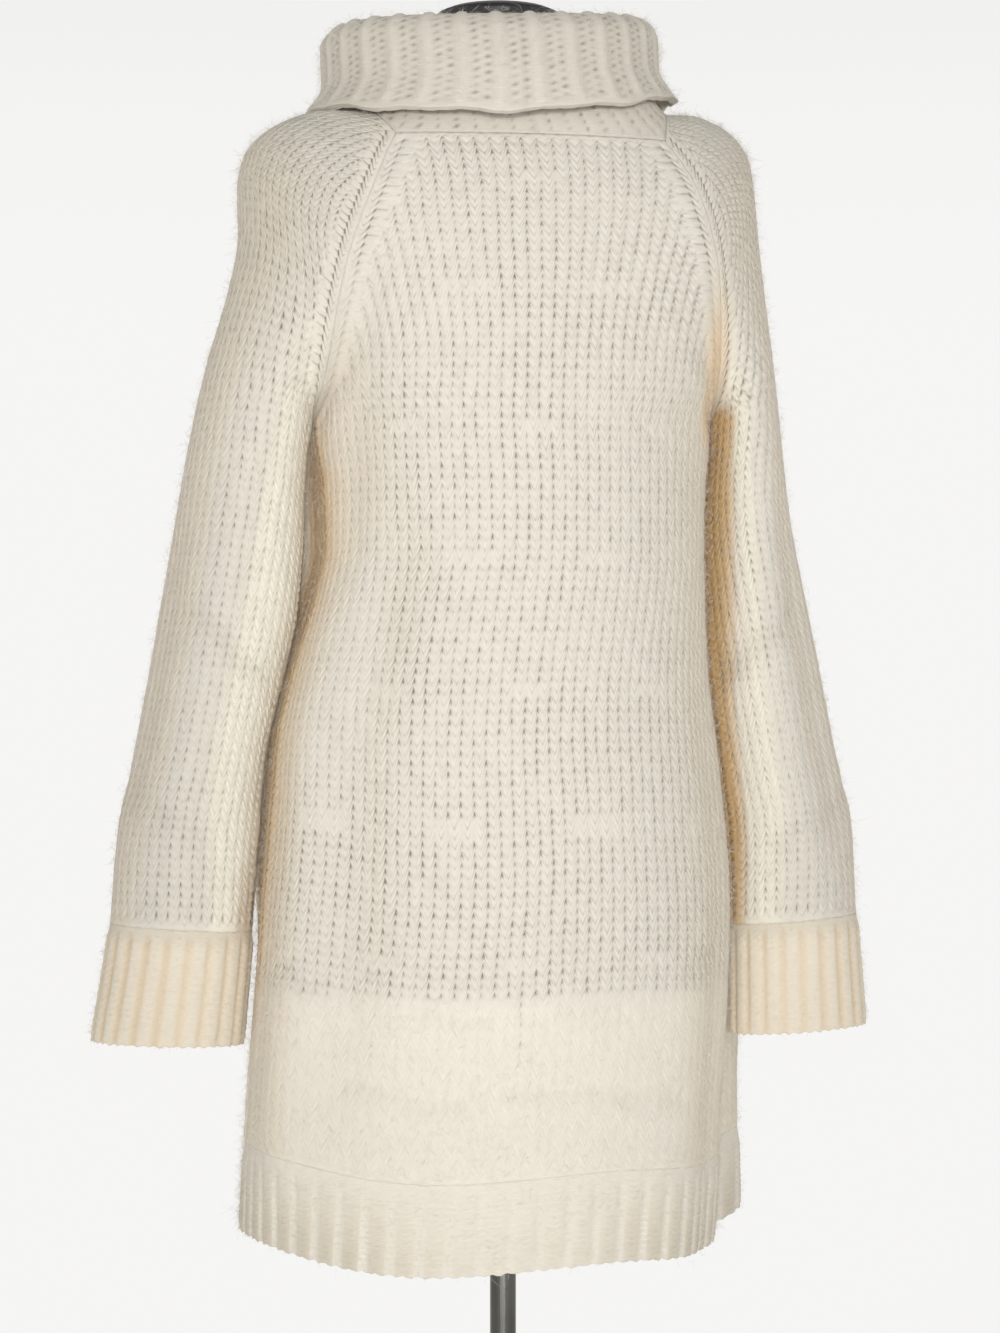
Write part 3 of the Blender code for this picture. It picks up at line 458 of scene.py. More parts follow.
def surface(piece, heights, across):
    """Points of a piece's outer face at heights and places across (-1..1)."""
    heights, across = np.broadcast_arrays(heights, across)
    base = sleeve_base if is_sleeve(piece) else panel_base
    points, angles = base(piece, heights, across)
    row = base(piece, heights, across + SLOPE_STEP)[0] - base(piece, heights, across - SLOPE_STEP)[0]
    push = folds(piece, angles, heights)
    if not is_sleeve(piece):
        push = push * (1.0 - np.clip(across, -1.0, 1.0) ** SEAM_FADE_POWER)
    return points + unit(np.cross(row, (0.0, 0.0, -1.0))) * push[..., None]


def own_normals(piece, heights, across):
    """Outward normals of one piece alone."""
    row = surface(piece, heights, across + SLOPE_STEP) - surface(piece, heights, across - SLOPE_STEP)
    down = surface(piece, heights - SLOPE_STEP, across) - surface(piece, heights + SLOPE_STEP, across)
    return unit(np.cross(row, down))


def seam_normals(piece, heights, edge):
    """Normals shared by the two pieces that meet at an edge (-1 or 1) of a piece."""
    here = np.full(heights.shape, float(edge))
    above = own_normals((NEXT if edge > 0 else BEFORE)[piece], heights, -here)
    below = own_normals(OPPOSITE.get(piece, piece), heights, -here)
    other = np.where((heights > UNDERARM)[..., None], above, below)
    shared = unit(own_normals(piece, heights, here) + other)
    near = step(np.abs(heights - UNDERARM), CORNER_BLEND, 0.0)[..., None]
    return unit(shared * (1.0 - near) + np.array([0.0, 0.0, -1.0]) * near)


def edge_gaps(across, span):
    """Distances from places across a piece to its left and right edge."""
    return (across + 1.0) / 2.0 * span, (1.0 - across) / 2.0 * span


def even_grid(heights, columns):
    """Heights and places across of a grid with this many even steps across."""
    return np.broadcast_arrays(heights[:, None], np.linspace(-1.0, 1.0, columns + 1))


def normals_at(piece, heights, across, gaps):
    """Outward normals that turn to the shared ones near each seam. The gaps are distances to them."""
    normals = own_normals(piece, heights, across)
    for edge, gap in zip((-1, 1), gaps):
        near = gap < SEAM_BLEND
        if near.any():
            weight = step(gap[near], SEAM_BLEND, 0.0)[..., None]
            shared = seam_normals(piece, heights[near], edge)
            normals[near] = unit(normals[near] * (1.0 - weight) + shared * weight)
    return normals


# --- Meshes ---
def plain_face(points, across, down, places, tube_from=None):
    """One face of a wall, from a full grid of points with their places across and down.

    From the row tube_from on, its last column is its first one again. Its stitch numbers, which the wool's
    streaks follow, are its places counted in wales and courses. It starts without painted light or shade, as
    plain wool.
    """
    numbers = np.arange(across.size).reshape(across.shape)
    if tube_from is not None:
        numbers[down >= tube_from, -1] = numbers[down >= tube_from, 0]
    stitch = np.stack(np.broadcast_arrays(places, down[:, None]), axis=-1)
    return {"points": points.reshape(-1, 3), "numbers": numbers, "across": across, "down": down,
            "stitch": stitch.reshape(-1, 2), "painted_shading": np.zeros((across.size, 3))}


def packed_face(face, normals, painted_shading):
    """A face with each of its points once, with their normals and painted light and shade."""
    kept, numbers = np.unique(face["numbers"], return_inverse=True)
    return dict(
        face, points=face["points"][kept], stitch=face["stitch"][kept],
        numbers=numbers.reshape(face["numbers"].shape), normals=normals.reshape(-1, 3)[kept],
        painted_shading=np.stack(np.broadcast_arrays(*painted_shading), axis=-1).reshape(-1, 3)[kept])


def grid_faces(numbers):
    """Quads and triangles of a grid of point numbers, without the ones that have no area."""
    quads = np.stack([numbers[:-1, :-1], numbers[:-1, 1:], numbers[1:, 1:], numbers[1:, :-1]], axis=-1)
    quads = quads.reshape(-1, 4)
    no_top = quads[:, 0] == quads[:, 1]
    no_bottom = quads[:, 2] == quads[:, 3]
    full = quads[~no_top & ~no_bottom]
    lower = quads[no_top & ~no_bottom][:, [1, 2, 3]]
    upper = quads[~no_top & no_bottom][:, [0, 1, 2]]
    return full.tolist() + lower.tolist() + upper.tolist()


def zip_edges(outer, outer_at, inner, inner_at):
    """Triangles between two rows of points that run the same way, each with a rising place."""
    faces = []
    i = 0
    j = 0
    places = [(place, False) for place in outer_at[1:]] + [(place, True) for place in inner_at[1:]]
    for _, on_inner in sorted(places):
        if on_inner:
            faces.append((outer[i], inner[j], inner[j + 1]))
            j += 1
        else:
            faces.append((outer[i + 1], outer[i], inner[j]))
            i += 1
    return [face for face in faces if len(set(face)) == 3]


def close_wall(outer, inner, tube_from):
    """Triangles that join the edges of a wall's two faces, but for sides that are closed to a tube."""
    faces = []
    for row, way in ((0, 1), (-1, -1)):
        faces += zip_edges(
            outer["numbers"][row][::way].tolist(), way * outer["across"][row][::way],
            inner["numbers"][row][::way].tolist(), way * inner["across"][row][::way])
    if tube_from == 0:
        return faces
    for column, way in ((-1, 1), (0, -1)):
        ends = []
        for face in (outer, inner):
            stop = len(face["down"])
            if tube_from is not None:
                stop = int(np.searchsorted(face["down"], tube_from + 1e-6))
            ends += [face["numbers"][:stop, column][::way].tolist(), way * face["down"][:stop][::way]]
        faces += zip_edges(*ends)
    return faces


def place_mesh(mesh, material, node=None):
    """An object for a mesh, on the part's one body. It takes the place of a node if one is named."""
    mesh.materials.append(material)
    thing = bpy.data.objects.new(mesh.name, mesh)
    bpy.context.scene.collection.objects.link(thing)
    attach(thing, "root")
    if node:
        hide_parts(node)
    return thing


def make_wall(name, outer, inner, tube_from):
    """The mesh of a closed knitted wall, from its outer and its inner face."""
    inner = dict(inner, numbers=inner["numbers"] + len(outer["points"]))
    points = np.concatenate([outer["points"], inner["points"]])
    painted_shading = np.concatenate([outer["painted_shading"], inner["painted_shading"]])
    stitch = np.concatenate([outer["stitch"], inner["stitch"]])
    outside = grid_faces(outer["numbers"])
    edges = close_wall(outer, inner, tube_from)
    inside = [face[::-1] for face in grid_faces(inner["numbers"])]
    mesh = bpy.data.meshes.new(name)
    mesh.from_pydata(points.tolist(), [], outside + edges + inside)
    rounded = np.ones(len(mesh.polygons), dtype=bool)
    rounded[len(outside):len(outside) + len(edges)] = False
    mesh.polygons.foreach_set("use_smooth", rounded)
    colours = np.concatenate([painted_shading, np.ones((len(points), 1))], axis=1)
    mesh.attributes.new("painted_shading", "FLOAT_COLOR", "POINT").data.foreach_set("color", colours.ravel())
    places = np.concatenate([stitch, np.zeros((len(points), 1))], axis=1)
    mesh.attributes.new("stitch", "FLOAT_VECTOR", "POINT").data.foreach_set("vector", places.ravel())
    return mesh


# --- Plain knit ---
FLAT_COURSES = 1.6        # courses at a piece's two ends over which its stitches come to lie level
CLIMB_WALES = 1.6         # wales from a raglan band over which they come to climb
CORNER_FADE = 0.004       # gap to the underarm's corner over which the relief grows
STRAY_WAVES = 7           # waves that wander over a piece, and how far each turns in a wale and a course
STRAY_TURNS = np.array([0.16, 0.11])
BEHIND_WALE = 0.019       # width that the inner face's streaks repeat over


def courses(top, bottom, gauge):
    """Heights of the mesh rows between two heights, a whole number of courses apart."""
    fine = np.linspace(top, bottom, COURSE_SAMPLES)
    counted = summed(np.diff(fine) / -read(gauge, "course", (fine[1:] + fine[:-1]) / 2.0))
    rows = int(round(counted[-1])) * ROWS_PER_COURSE
    return np.interp(np.linspace(0.0, counted[-1], rows + 1), counted, fine)


def stray(seed, wales, rows, pace=1.0):
    """Slow uneven wander of the wales and courses, mostly from -1 to 1."""
    local = np.random.default_rng(seed)
    total = np.zeros(np.broadcast_shapes(np.shape(wales), np.shape(rows)))
    for _ in range(STRAY_WAVES):
        turns = local.normal(0.0, STRAY_TURNS * pace)
        total += np.sin(turns[0] * wales + turns[1] * rows + local.uniform(0.0, 2.0 * pi))
    return total / 3.0


def crease_depth(piece, arc, heights):
    """Depth of the shallow creases at each point. A crease bends a little and fades at its ends."""
    depth = np.zeros(arc.shape)
    for crease in records(CREASES):
        if crease["piece"] == piece:
            start = np.array([crease["from_arc"], crease["from_height"]])
            way = np.array([crease["to_arc"], crease["to_height"]]) - start
            length = np.linalg.norm(way)
            way = way / length
            place = (arc - start[0]) * way[0] + (heights - start[1]) * way[1]
            off = (arc - start[0]) * way[1] - (heights - start[1]) * way[0]
            off = off - 0.25 * crease["width"] * np.sin(place / length * 2.0 * pi)
            beyond = place - np.clip(place, 0.0, length)
            depth += crease["depth"] * np.exp(-(off ** 2 + beyond ** 2 * 0.35) / crease["width"] ** 2)
    return depth


def knit_layout(piece, bottom, gauge):
    """Where each point of a piece's knit lies: its wale, row, place across and height.

    The columns of mesh next to an edge are a plain band that follows the seam. Between the two bands
    the columns are wales, and a wale ends at the band's line, where its points join that line.
    """
    yoke = courses(NECK, UNDERARM, gauge)
    heights = np.concatenate([yoke, courses(UNDERARM, bottom, gauge)[1:]])
    wale = read(gauge, "wale", heights)[:, None]
    sample = np.linspace(-1.0, 1.0, ARC_SAMPLES)
    arc = summed(spacing(surface(piece, heights[:, None], sample[None, :]), 1))
    arc -= arc[:, ARC_SAMPLES // 2][:, None]
    ends = arc[:, :1], arc[:, -1:]
    lines = (ends[0] + BAND) / wale, (ends[1] - BAND) / wale
    reach = int(np.ceil(max(-lines[0].min(), lines[1].max())))
    wales = np.array([k + part for k in range(-reach, reach) for part in WALE_STEPS] + [float(reach)])
    inside = (wales > lines[0] + SNAP) & (wales < lines[1] - SNAP)
    steps = np.array(BAND_STEPS)
    left = lines[0] - steps[::-1] * BAND / wale
    right = lines[1] + steps * BAND / wale
    middle = np.where(inside, wales, np.where(wales < 0.0, left[:, -1:], right[:, :1]))
    places = np.concatenate([left, middle, right], axis=1)
    arcs = places * wale
    band = len(BAND_STEPS)
    numbers = np.arange(places.size).reshape(places.shape)
    joined = np.where(wales < 0.0, numbers[:, band - 1:band], numbers[:, -band][:, None])
    numbers[:, band:-band] = np.where(inside, numbers[:, band:-band], joined)
    kept, numbers = np.unique(numbers, return_inverse=True)
    columns = np.arange(places.shape[1])
    from_edge = np.minimum(columns, columns[::-1])
    down = np.arange(len(heights))[:, None] / ROWS_PER_COURSE
    knit = SimpleNamespace(
        heights=heights, down=down, total=down[-1, 0], underarm=(len(yoke) - 1) / ROWS_PER_COURSE,
        places=places, arcs=arcs, arc=arc, sample=sample, ends=ends, kept=kept,
        numbers=numbers.reshape(places.shape), phase=np.mod(down, 1.0),
        leg=np.abs(np.concatenate([steps[::-1], np.mod(wales, 1.0), steps])),
        away=np.minimum(places - lines[0], lines[1] - places), at_seam=from_edge == 0,
        on_line=from_edge == band - 2, beside_band=from_edge == band - 1, in_band=from_edge < band)
    knit.across = across_at(knit, arcs)
    knit.plain = np.where(knit.in_band, 1.0, step(knit.away, 0.7, 1.3))
    knit.furrow = (knit.leg == 0.0) | (knit.leg == 1.0)
    knit.stitch_middle = (knit.phase == 0.0) & (knit.leg == 0.5)
    return knit


def across_at(knit, arcs):
    """Places across a piece (-1..1) at distances from its middle line."""
    across = np.stack([np.interp(arcs[i], knit.arc[i], knit.sample) for i in range(len(arcs))])
    across[:, 0] = -1.0
    across[:, -1] = 1.0
    return across


def kept_values(knit, values):
    """A grid's values at the points that are kept of it."""
    return np.broadcast_to(values, knit.places.shape).ravel()[knit.kept]


def lay_stitches(knit, seed, scatter, wave):
    """Heights and places across of the points, and their distances to both edges.

    The legs of a stitch climb towards its sides, and no stitch lies quite even.
    """
    lean = np.abs(2.0 * knit.leg - 1.0)
    climb = (lean - 0.5) * step(knit.away, SNAP, SNAP + CLIMB_WALES)
    climb = LEAN * np.where(knit.in_band, BAND_LEAN * (lean - 1.0), climb)
    climb = np.where(knit.beside_band, 0.0, climb)
    level = step(knit.down, 0.0, FLAT_COURSES) * step(knit.total - knit.down, 0.0, FLAT_COURSES)
    stray_down = np.where(knit.at_seam, 0.0, WAVINESS * wave + SCATTER * scatter)
    moved = knit.down - climb * level + stray_down * level
    uneven = WANDER * stray(seed + 2, knit.places, knit.down)
    uneven = np.where(knit.in_band, 0.0, uneven + JITTER * stray(seed + 4, knit.places, knit.down, 9.0))
    rows = knit.down[:, 0]
    left, right = knit.ends
    left_there, right_there = (np.interp(moved, rows, end[:, 0]) for end in knit.ends)
    width = BAND * (1.001 - BAND_STEPS[0])
    arcs = np.where(knit.arcs < left + width, knit.arcs - left + left_there, knit.arcs)
    arcs = np.where(arcs > right - width, arcs - right + right_there, arcs)
    arcs = np.clip(arcs + uneven, left_there, right_there)
    across = across_at(knit, np.where(arcs < 0.0, arcs * left / left_there, arcs * right / right_there))
    return np.interp(moved, rows, knit.heights), across, (arcs - left_there, right_there - arcs)


def dash_stitches(knit):
    """Which holes the short dashes fill, as 1 or 0."""
    row = (knit.down - DASH_START) / DASH_COURSES
    place = knit.places / DASH_WALES - np.mod(np.round(row), 2.0) * 0.5
    near_row = np.abs(row - np.round(row)) * DASH_COURSES < 0.55
    near_place = np.abs(place - np.round(place)) * DASH_WALES < DASH_LENGTH
    return (near_row & near_place & (row > -0.2) & ~knit.in_band).astype(float)


def open_holes(knit, seed, local):
    """How open the hole at each corner of four stitches is, and 0 elsewhere."""
    corner = (knit.phase == 0.0) & (knit.down > 0.5) & (knit.down < knit.total - 0.5)
    opened = local.uniform(*HOLE_OPEN, knit.places.shape) * knit.plain
    opened = np.where(knit.on_line, local.uniform(*LINE_OPEN, knit.places.shape), opened)
    opened = opened * (1.0 + OPEN_DRIFT * stray(seed + 3, knit.places, knit.down))
    return np.where(corner & knit.furrow & ~knit.at_seam, opened, 0.0)


def knit_relief(knit, piece, heights, holes, filled):
    """How deep each point lies behind the yarn's highest line, before creases."""
    groove = np.where(knit.phase == 0.0, 1.0, np.where(knit.phase == 0.5, 0.0, 0.30))
    depth = (GROOVE * groove + FURROW * knit.furrow) * (0.2 + 0.8 * knit.plain)
    share = np.clip(holes, 0.0, 1.2) * np.where(knit.on_line, LINE_DEPTH, 1.0)
    depth = depth + HOLE * share * (1.0 - DASH_FILL * filled)
    depth = depth + DIMPLE * knit.stitch_middle - DASH_RISE * filled
    edge_fade = step(knit.down, 0.0, 1.1) * step(knit.total - knit.down, 0.0, 0.9)
    depth = depth * (0.35 + 0.65 * edge_fade)
    if is_sleeve(piece):
        return depth
    return depth * (0.38 + 0.62 * step(heights, FORM_BOTTOM - 0.006, FORM_BOTTOM + 0.006))


def spill(holes, below, above):
    """Painted shade of holes, with a share of it spilled onto the rows below and above them."""
    dark = holes.copy()
    dark[1:] = np.maximum(dark[1:], below * holes[:-1])
    dark[:-1] = np.maximum(dark[:-1], above * holes[1:])
    return dark


def hole_shades(knit, holes, local):
    """Painted shade: how dark each point looks for the holes in it and beside it, and for the middles of
    stitches.
    """
    pit = spill(holes, BELOW_HOLE, BESIDE_HOLE)
    for way in (-1, 1):
        pit = np.maximum(pit, BESIDE_HOLE * np.roll(np.where(knit.on_line, holes, 0.0), way, axis=1))
    beside = np.where(knit.on_line, 0.0, BESIDE_HOLE * holes)
    pit[:-2, 1:] = np.maximum(pit[:-2, 1:], beside[2:, :-1])
    pit[:-2, :-1] = np.maximum(pit[:-2, :-1], beside[2:, 1:])
    return np.where(knit.stitch_middle, local.uniform(*STITCH_DARK, pit.shape), pit)


def knit_piece(piece, node, bottom, gauge, seed, material):
    """One piece of plain knit, as a closed wall with every stitch in its outer face."""
    knit = knit_layout(piece, bottom, gauge)
    local = np.random.default_rng(seed)
    # The draw in the middle is spare and keeps the order of the rest.
    scatter, _, rough = local.normal(0.0, 1.0, (3,) + knit.places.shape)
    wave = stray(seed + 1, knit.places, knit.down)
    heights, across, gaps = lay_stitches(knit, seed, scatter, wave)
    holes = open_holes(knit, seed, local)
    filled = np.zeros(knit.places.shape) if is_sleeve(piece) else dash_stitches(knit)
    creases = crease_depth(piece, knit.arcs, heights)
    depth = knit_relief(knit, piece, heights, holes, filled) + creases
    depth = depth - SWELL * wave + ROUGH * rough - PROUD
    at_join = step(knit.down, 0.0, 0.5) * step(knit.total - knit.down, 0.0, 0.5)
    depth = np.where(knit.at_seam, 0.0, depth * at_join - JOIN * (1.0 - at_join))
    corner_gap = np.minimum(*gaps) + np.abs(knit.heights - UNDERARM)[:, None]
    depth = depth * np.maximum(step(corner_gap, 0.0, CORNER_FADE), 0.3)

    tall = kept_values(knit, heights)
    wide = kept_values(knit, across)
    normals = normals_at(piece, tall, wide, [kept_values(knit, gap) for gap in gaps])
    points = surface(piece, tall, wide) - normals * kept_values(knit, depth)[:, None]
    points[:, 2] += RISE * kept_values(knit, knit.down == 0.0)

    # Painted light and shade: painted shade in the holes, the middles of stitches and the creases, painted
    # warm shade that also darkens, and painted light on the sleeves. The filled dashes are mixed a little
    # towards LIT.
    seen = np.clip(holes, 0.0, 1.0) * (1.0 - DASH_FILL * filled)
    pit = kept_values(knit, hole_shades(knit, seen, local)) * hole_darkness(piece, points, normals)
    pit = pit + CREASE_SHADE * kept_values(knit, creases)
    warm = shade(piece, points, normals)
    pit = pit + 0.32 * step(warm, 0.20, 1.0)
    lit = sleeve_light(piece, points, normals) * (1.0 - step(warm, 0.0, 0.3))
    lit = np.maximum(kept_values(knit, filled) * 0.12, lit)

    tube_from = knit.underarm if is_sleeve(piece) else None
    rows = knit.down[:, 0]
    numbers = knit.numbers
    if is_sleeve(piece):
        numbers[rows >= tube_from, -1] = numbers[rows >= tube_from, 0]
    stitch = np.stack([kept_values(knit, knit.places), kept_values(knit, knit.down)], axis=-1)
    outer = {"points": points, "normals": normals, "numbers": numbers, "across": knit.across,
             "down": rows, "stitch": stitch, "painted_shading": np.stack([pit, lit, warm], axis=-1)}
    wall = make_wall(piece + "_knit", outer, inner_face(piece, knit, tube_from), tube_from)
    return place_mesh(wall, material, node), outer


def inner_face(piece, knit, tube_from):
    """The plain inner face behind a piece of knit, a row for each course."""
    rows = knit.down[::ROWS_PER_COURSE, 0]
    tall, across = even_grid(knit.heights[::ROWS_PER_COURSE], BACK_COLUMNS)
    start, end = (line[::ROWS_PER_COURSE] for line in knit.ends)
    gaps = edge_gaps(across, end - start)
    creases = crease_depth(piece, start + gaps[0], tall) * step(np.minimum(*gaps), 0.0, 0.01)
    normals = normals_at(piece, tall, across, gaps)
    points = surface(piece, tall, across) - normals * (WALL + creases)[..., None]
    return plain_face(points, across, rows, across * (end - start) / BEHIND_WALE, tube_from)


# --- Light and shade painted into the wool ---
def outwardness(points, normals):
    """How far each point faces away from the dress's middle, sideways."""
    return np.sign(points[:, 0]) * normals[:, 0]


def hole_darkness(piece, points, normals):
    """Painted shade in the holes, which also stands for the dark form seen through them: how dark holes
    look. On a sleeve:
    most on the shoulder, least on the outside of the arm. On a body panel: dark over the form, light under
    it but for the pole seen through them, and faint at its sides."""
    x, _, z = points.T
    if is_sleeve(piece):
        low = 1.0 - step(z, 1.10, 1.32)
        return 1.60 - 0.70 * low - 0.55 * low * step(outwardness(points, normals), 0.40, 0.85)
    over_form = step(z, FORM_BOTTOM - 0.004, FORM_BOTTOM + 0.006)
    pole = bell(x, 0.004, 0.010) * step(z, 0.63, 0.66)
    aside = np.maximum(step(x, 0.088, 0.120), step(-x, 0.138, 0.153))
    aside = aside * step(z, 0.84, 0.96) * step(z, 1.29, 1.24)
    return np.maximum(np.maximum(over_form, 0.55 * pole), 0.07) * (1.20 - 0.80 * aside)


def shade(piece, points, normals):
    """Painted warm shade: how warm and dim the light is painted, most between a sleeve and the body, a
    little on every side.
    """
    x, y, z = points.T
    outward = outwardness(points, normals)
    side = 0.11 * step(np.abs(outward), 0.40, 0.85)
    low = step(z, 0.62, 0.82)
    fade = step(z, 1.20, 1.10) * low
    behind = step(y, -0.07, -0.02)
    if piece == "sleeve_left":
        cuff = 0.26 * step(z, 0.92, 0.72) * step(-outward, 0.35, 0.75)
        return np.maximum(side, np.maximum(cuff, 0.25 * fade * step(-outward, 0.92, 0.99)) * behind)
    # Painted shadow along the right raglan line at the back, where the back folds over the sleeve.
    line = 0.55 * bell(x, -0.160, 0.010) * (y > 0.0) * step(z, 1.28, 1.19) * step(z, 1.12, 1.14)
    if piece == "sleeve_right":
        inside = 1.15 * low * step(z, 1.27, 1.17) * step(-outward, 0.72, 0.96)
        return np.maximum(np.maximum(side, line), inside * behind)
    if piece == "front":
        edge = fade * step(outward, 0.20, 0.60) * (x > 0.0)
        return np.maximum(side, 0.85 * edge * step(y, -0.062, -0.040))
    edge = fade * step(outward, 0.72, 1.0) * (x > 0.0)
    return np.maximum(np.maximum(side, line), edge * (0.30 + 0.55 * step(y, 0.018, -0.012)))


def sleeve_light(piece, points, normals):
    """Painted light: how bright a sleeve is painted on the side that light from the body falls on."""
    if not is_sleeve(piece):
        return 0.0
    outward = outwardness(points, normals)
    most = 0.64 + (0.36 * step(points[:, 2], 1.15, 1.03) if piece == "sleeve_left" else 0.0)
    return (0.30 + (most - 0.30) * step(-outward, 0.10, 0.60)) * step(outward, 0.55, 0.15)


def hem_glow(points):
    """How strongly the hem's painted light and shade show between its ribs and on them: more towards its
    sides.
    """
    return 0.35 + 0.65 * step(np.abs(points[..., 0] - 0.01), 0.03, 0.13)


def cuff_glow(points):
    """The same for a cuff: more on the outside of the arm."""
    return 0.60 + 0.40 * step(np.abs(points[..., 0]), 0.23, 0.29)


def cuff_painted_shading(leg, down, glow):
    """Dark, bright and warm share of a cuff: painted shade and painted warm shade in its furrows. Its top is
    darker too.
    """
    furrow = 0.24 * step(np.minimum(leg, 1.0 - leg), 0.34, 0.04) * step(down, 0.0, 3.0) * glow
    return furrow + 0.24 * (1.0 - step(down, 0.0, 4.5)), 0.0, 1.3 * furrow


def hem_painted_shading(leg, down, total, glow, local):
    """Dark, bright and warm share of a hem: its painted light and shade.

    Painted backlight: light from behind comes through between the ribs, more so lower down, and starts at
    uneven heights.
    The ribs get painted shade.
    """
    shape = glow.shape
    ladder = (np.arange(shape[1]) + len(RIB_STEPS) // 2) // len(RIB_STEPS)
    strength = local.uniform(0.30, 1.0, ladder.max() + 1)[ladder]
    start = local.uniform(0.2, 5.7, ladder.max() + 1)[ladder]
    growth = step(down - start, 0.0, 2.0) * (0.55 + 0.45 * step(down, 0.0, total))
    rung = np.where(np.mod(down, 1.0) == 0.5, local.uniform(0.80, 1.0, shape), 0.38)
    wide = np.where(leg == 0.0, 1.0, np.where((leg < 0.2) | (leg > 0.8), 0.72, 0.0))
    lit = (down < total - 0.9) * growth * rung * wide * glow * strength
    on_rib = step(np.minimum(leg, 1.0 - leg), 0.10, 0.26)
    dark = on_rib * (0.02 + 0.32 * glow) * (0.35 + 0.65 * step(down, 0.0, total)) * step(down, 0.0, 4.0)
    return dark, lit, 0.35 * dark


# --- Ribbing ---
def rib_columns(ribs, steps):
    """Places of the mesh columns over all the ribs, counted in ribs, and each one's place in its rib."""
    places = np.array([k + part for k in range(ribs) for part in steps] + [float(ribs)])
    return places, np.array(steps * ribs + (0.0,))


def rib_climb(amount, leg, down, total):
    """How far a rib's yarn climbs towards the rib's sides, in courses, but not at its two ends."""
    return amount * (np.abs(2.0 * leg - 1.0) - 0.5) * step(down, 0.0, 2.0) * step(total - down, 0.0, 2.0)


def two_waves(leg):
    """A wave from 0 to 1, twice in a rib."""
    return (1.0 - np.cos(4.0 * pi * leg)) / 2.0


def rib_rows(length, course):
    """Rows of mesh down a piece of ribbing, counted in courses."""
    return np.arange(max(2, int(round(length / course))) * ROWS_PER_COURSE + 1) / ROWS_PER_COURSE


def hem_relief(leg, down, total, local):
    """Relief of a hem or cuff: low round ribs, and the rungs that show in the stretched knit between
    them. Then the painted shade in the middle of its ribs: how dark its points are."""
    phase = np.mod(down, 1.0)
    cast_off = step(total - down, 0.0, 1.6)
    rib = np.clip(np.sin(pi * leg), 0.0, 1.0) ** 0.8
    relief = RIB_HEIGHT * (0.95 * rib - 0.10) * (0.60 + 0.40 * cast_off)
    rung = np.where(phase == 0.5, RUNG_PROUD, np.where(phase == 0.0, -RUNG_SUNK, 0.0))
    relief = relief + ((leg < 0.2) | (leg > 0.8)) * cast_off * rung
    on_rib = (leg > 0.2) & (leg < 0.8)
    relief = relief + RIB_WAVE * on_rib * np.cos(2.0 * pi * phase) - RIB_GROOVE * (leg == 0.5)
    relief = relief + ROUGH * local.normal(0.0, 1.0, relief.shape)
    return relief, 0.18 * (leg == 0.5) * local.random(relief.shape) * (phase == 0.0) * cast_off


def flat_normals(piece, heights, across, span):
    """Outward normals of a band, without their slope."""
    return unit(normals_at(piece, heights, across, edge_gaps(across, span)) * (1.0, 1.0, 0.0))


def rib_band(name, piece, top, bottom, ribs, course, seed, material):
    """A hem or cuff band of ribbing, as a closed wall."""
    places, leg = rib_columns(ribs, RIB_STEPS)
    rows = rib_rows(top - bottom, course)
    down = rows[:, None]
    total = rows[-1]
    local = np.random.default_rng(seed)
    relief, pit = hem_relief(leg, down, total, local)
    started = step(down, 0.0, 2.0)
    scallop = SCALLOP * two_waves(leg) * local.uniform(0.5, 1.5, leg.shape)
    uneven = 0.10 * stray(seed + 2, places * 2.0, down * 2.0) * started
    moved = down - rib_climb(RIB_CLIMB, leg, down, total) + uneven
    heights = top - (top - bottom) * np.clip(moved / total, 0.0, None)
    heights = np.where(down == total, bottom, np.maximum(heights, bottom))
    heights = heights - scallop * step(down, total - 2.0, total)
    across = np.broadcast_to(places / ribs * 2.0 - 1.0, relief.shape)
    sway = 0.06 * stray(seed + 3, places * 2.0, down) / ribs
    across = across + np.where(np.abs(across) < 1.0, sway, 0.0) * started
    tall = np.clip(heights, bottom, top)
    points = surface(piece, tall, across)
    points[..., 2] += heights - tall
    normals = flat_normals(piece, tall, across, spacing(points[0]).sum())
    fade_in = step(down, 0.0, 2.4 if is_sleeve(piece) else 4.6)
    proud = relief * fade_in + JOIN * (1.0 - fade_in) - TUCK * (down == 0.0)
    points = points + normals * proud[..., None]
    points[..., 2] += RISE * (down == 0.0)
    # Painted light and shade of the band: painted shade in a cuff's furrows, painted backlight between a
    # hem's ribs.
    if is_sleeve(piece):
        dark, lit, warm = cuff_painted_shading(leg, down, cuff_glow(points))
    else:
        dark, lit, warm = hem_painted_shading(leg, down, total, hem_glow(points), local)
    tube_from = 0 if is_sleeve(piece) else None
    outer = plain_face(points, across, rows, places * 2.0, tube_from)
    outer = packed_face(outer, normals, (pit + dark, lit, warm))
    wall = make_wall(name + "_rib", outer, band_inner(piece, top, bottom, ribs, total, tube_from), tube_from)
    return place_mesh(wall, material, name), outer


def band_inner(piece, top, bottom, ribs, total, tube_from):
    """The plain inner face of a band of ribbing."""
    rows = np.linspace(0.0, total, BAND_INNER_ROWS)
    tall, across = even_grid(top - (top - bottom) * rows / total, 2 * ribs)
    points = surface(piece, tall, across)
    points = points - flat_normals(piece, tall, across, spacing(points[0]).sum()) * WALL
    return plain_face(points, across, rows, (across + 1.0) * ribs, tube_from)


# --- Collar ---
NECK_SAMPLES = 61
COLLAR_SAMPLES = 121
ROUNDED_STAGE = 0.22      # stage above the seam from which the stand's corners are rounded
ROUNDING = 0.045          # and how far round, as a share of the neck
ROUNDING_SAMPLES = 15


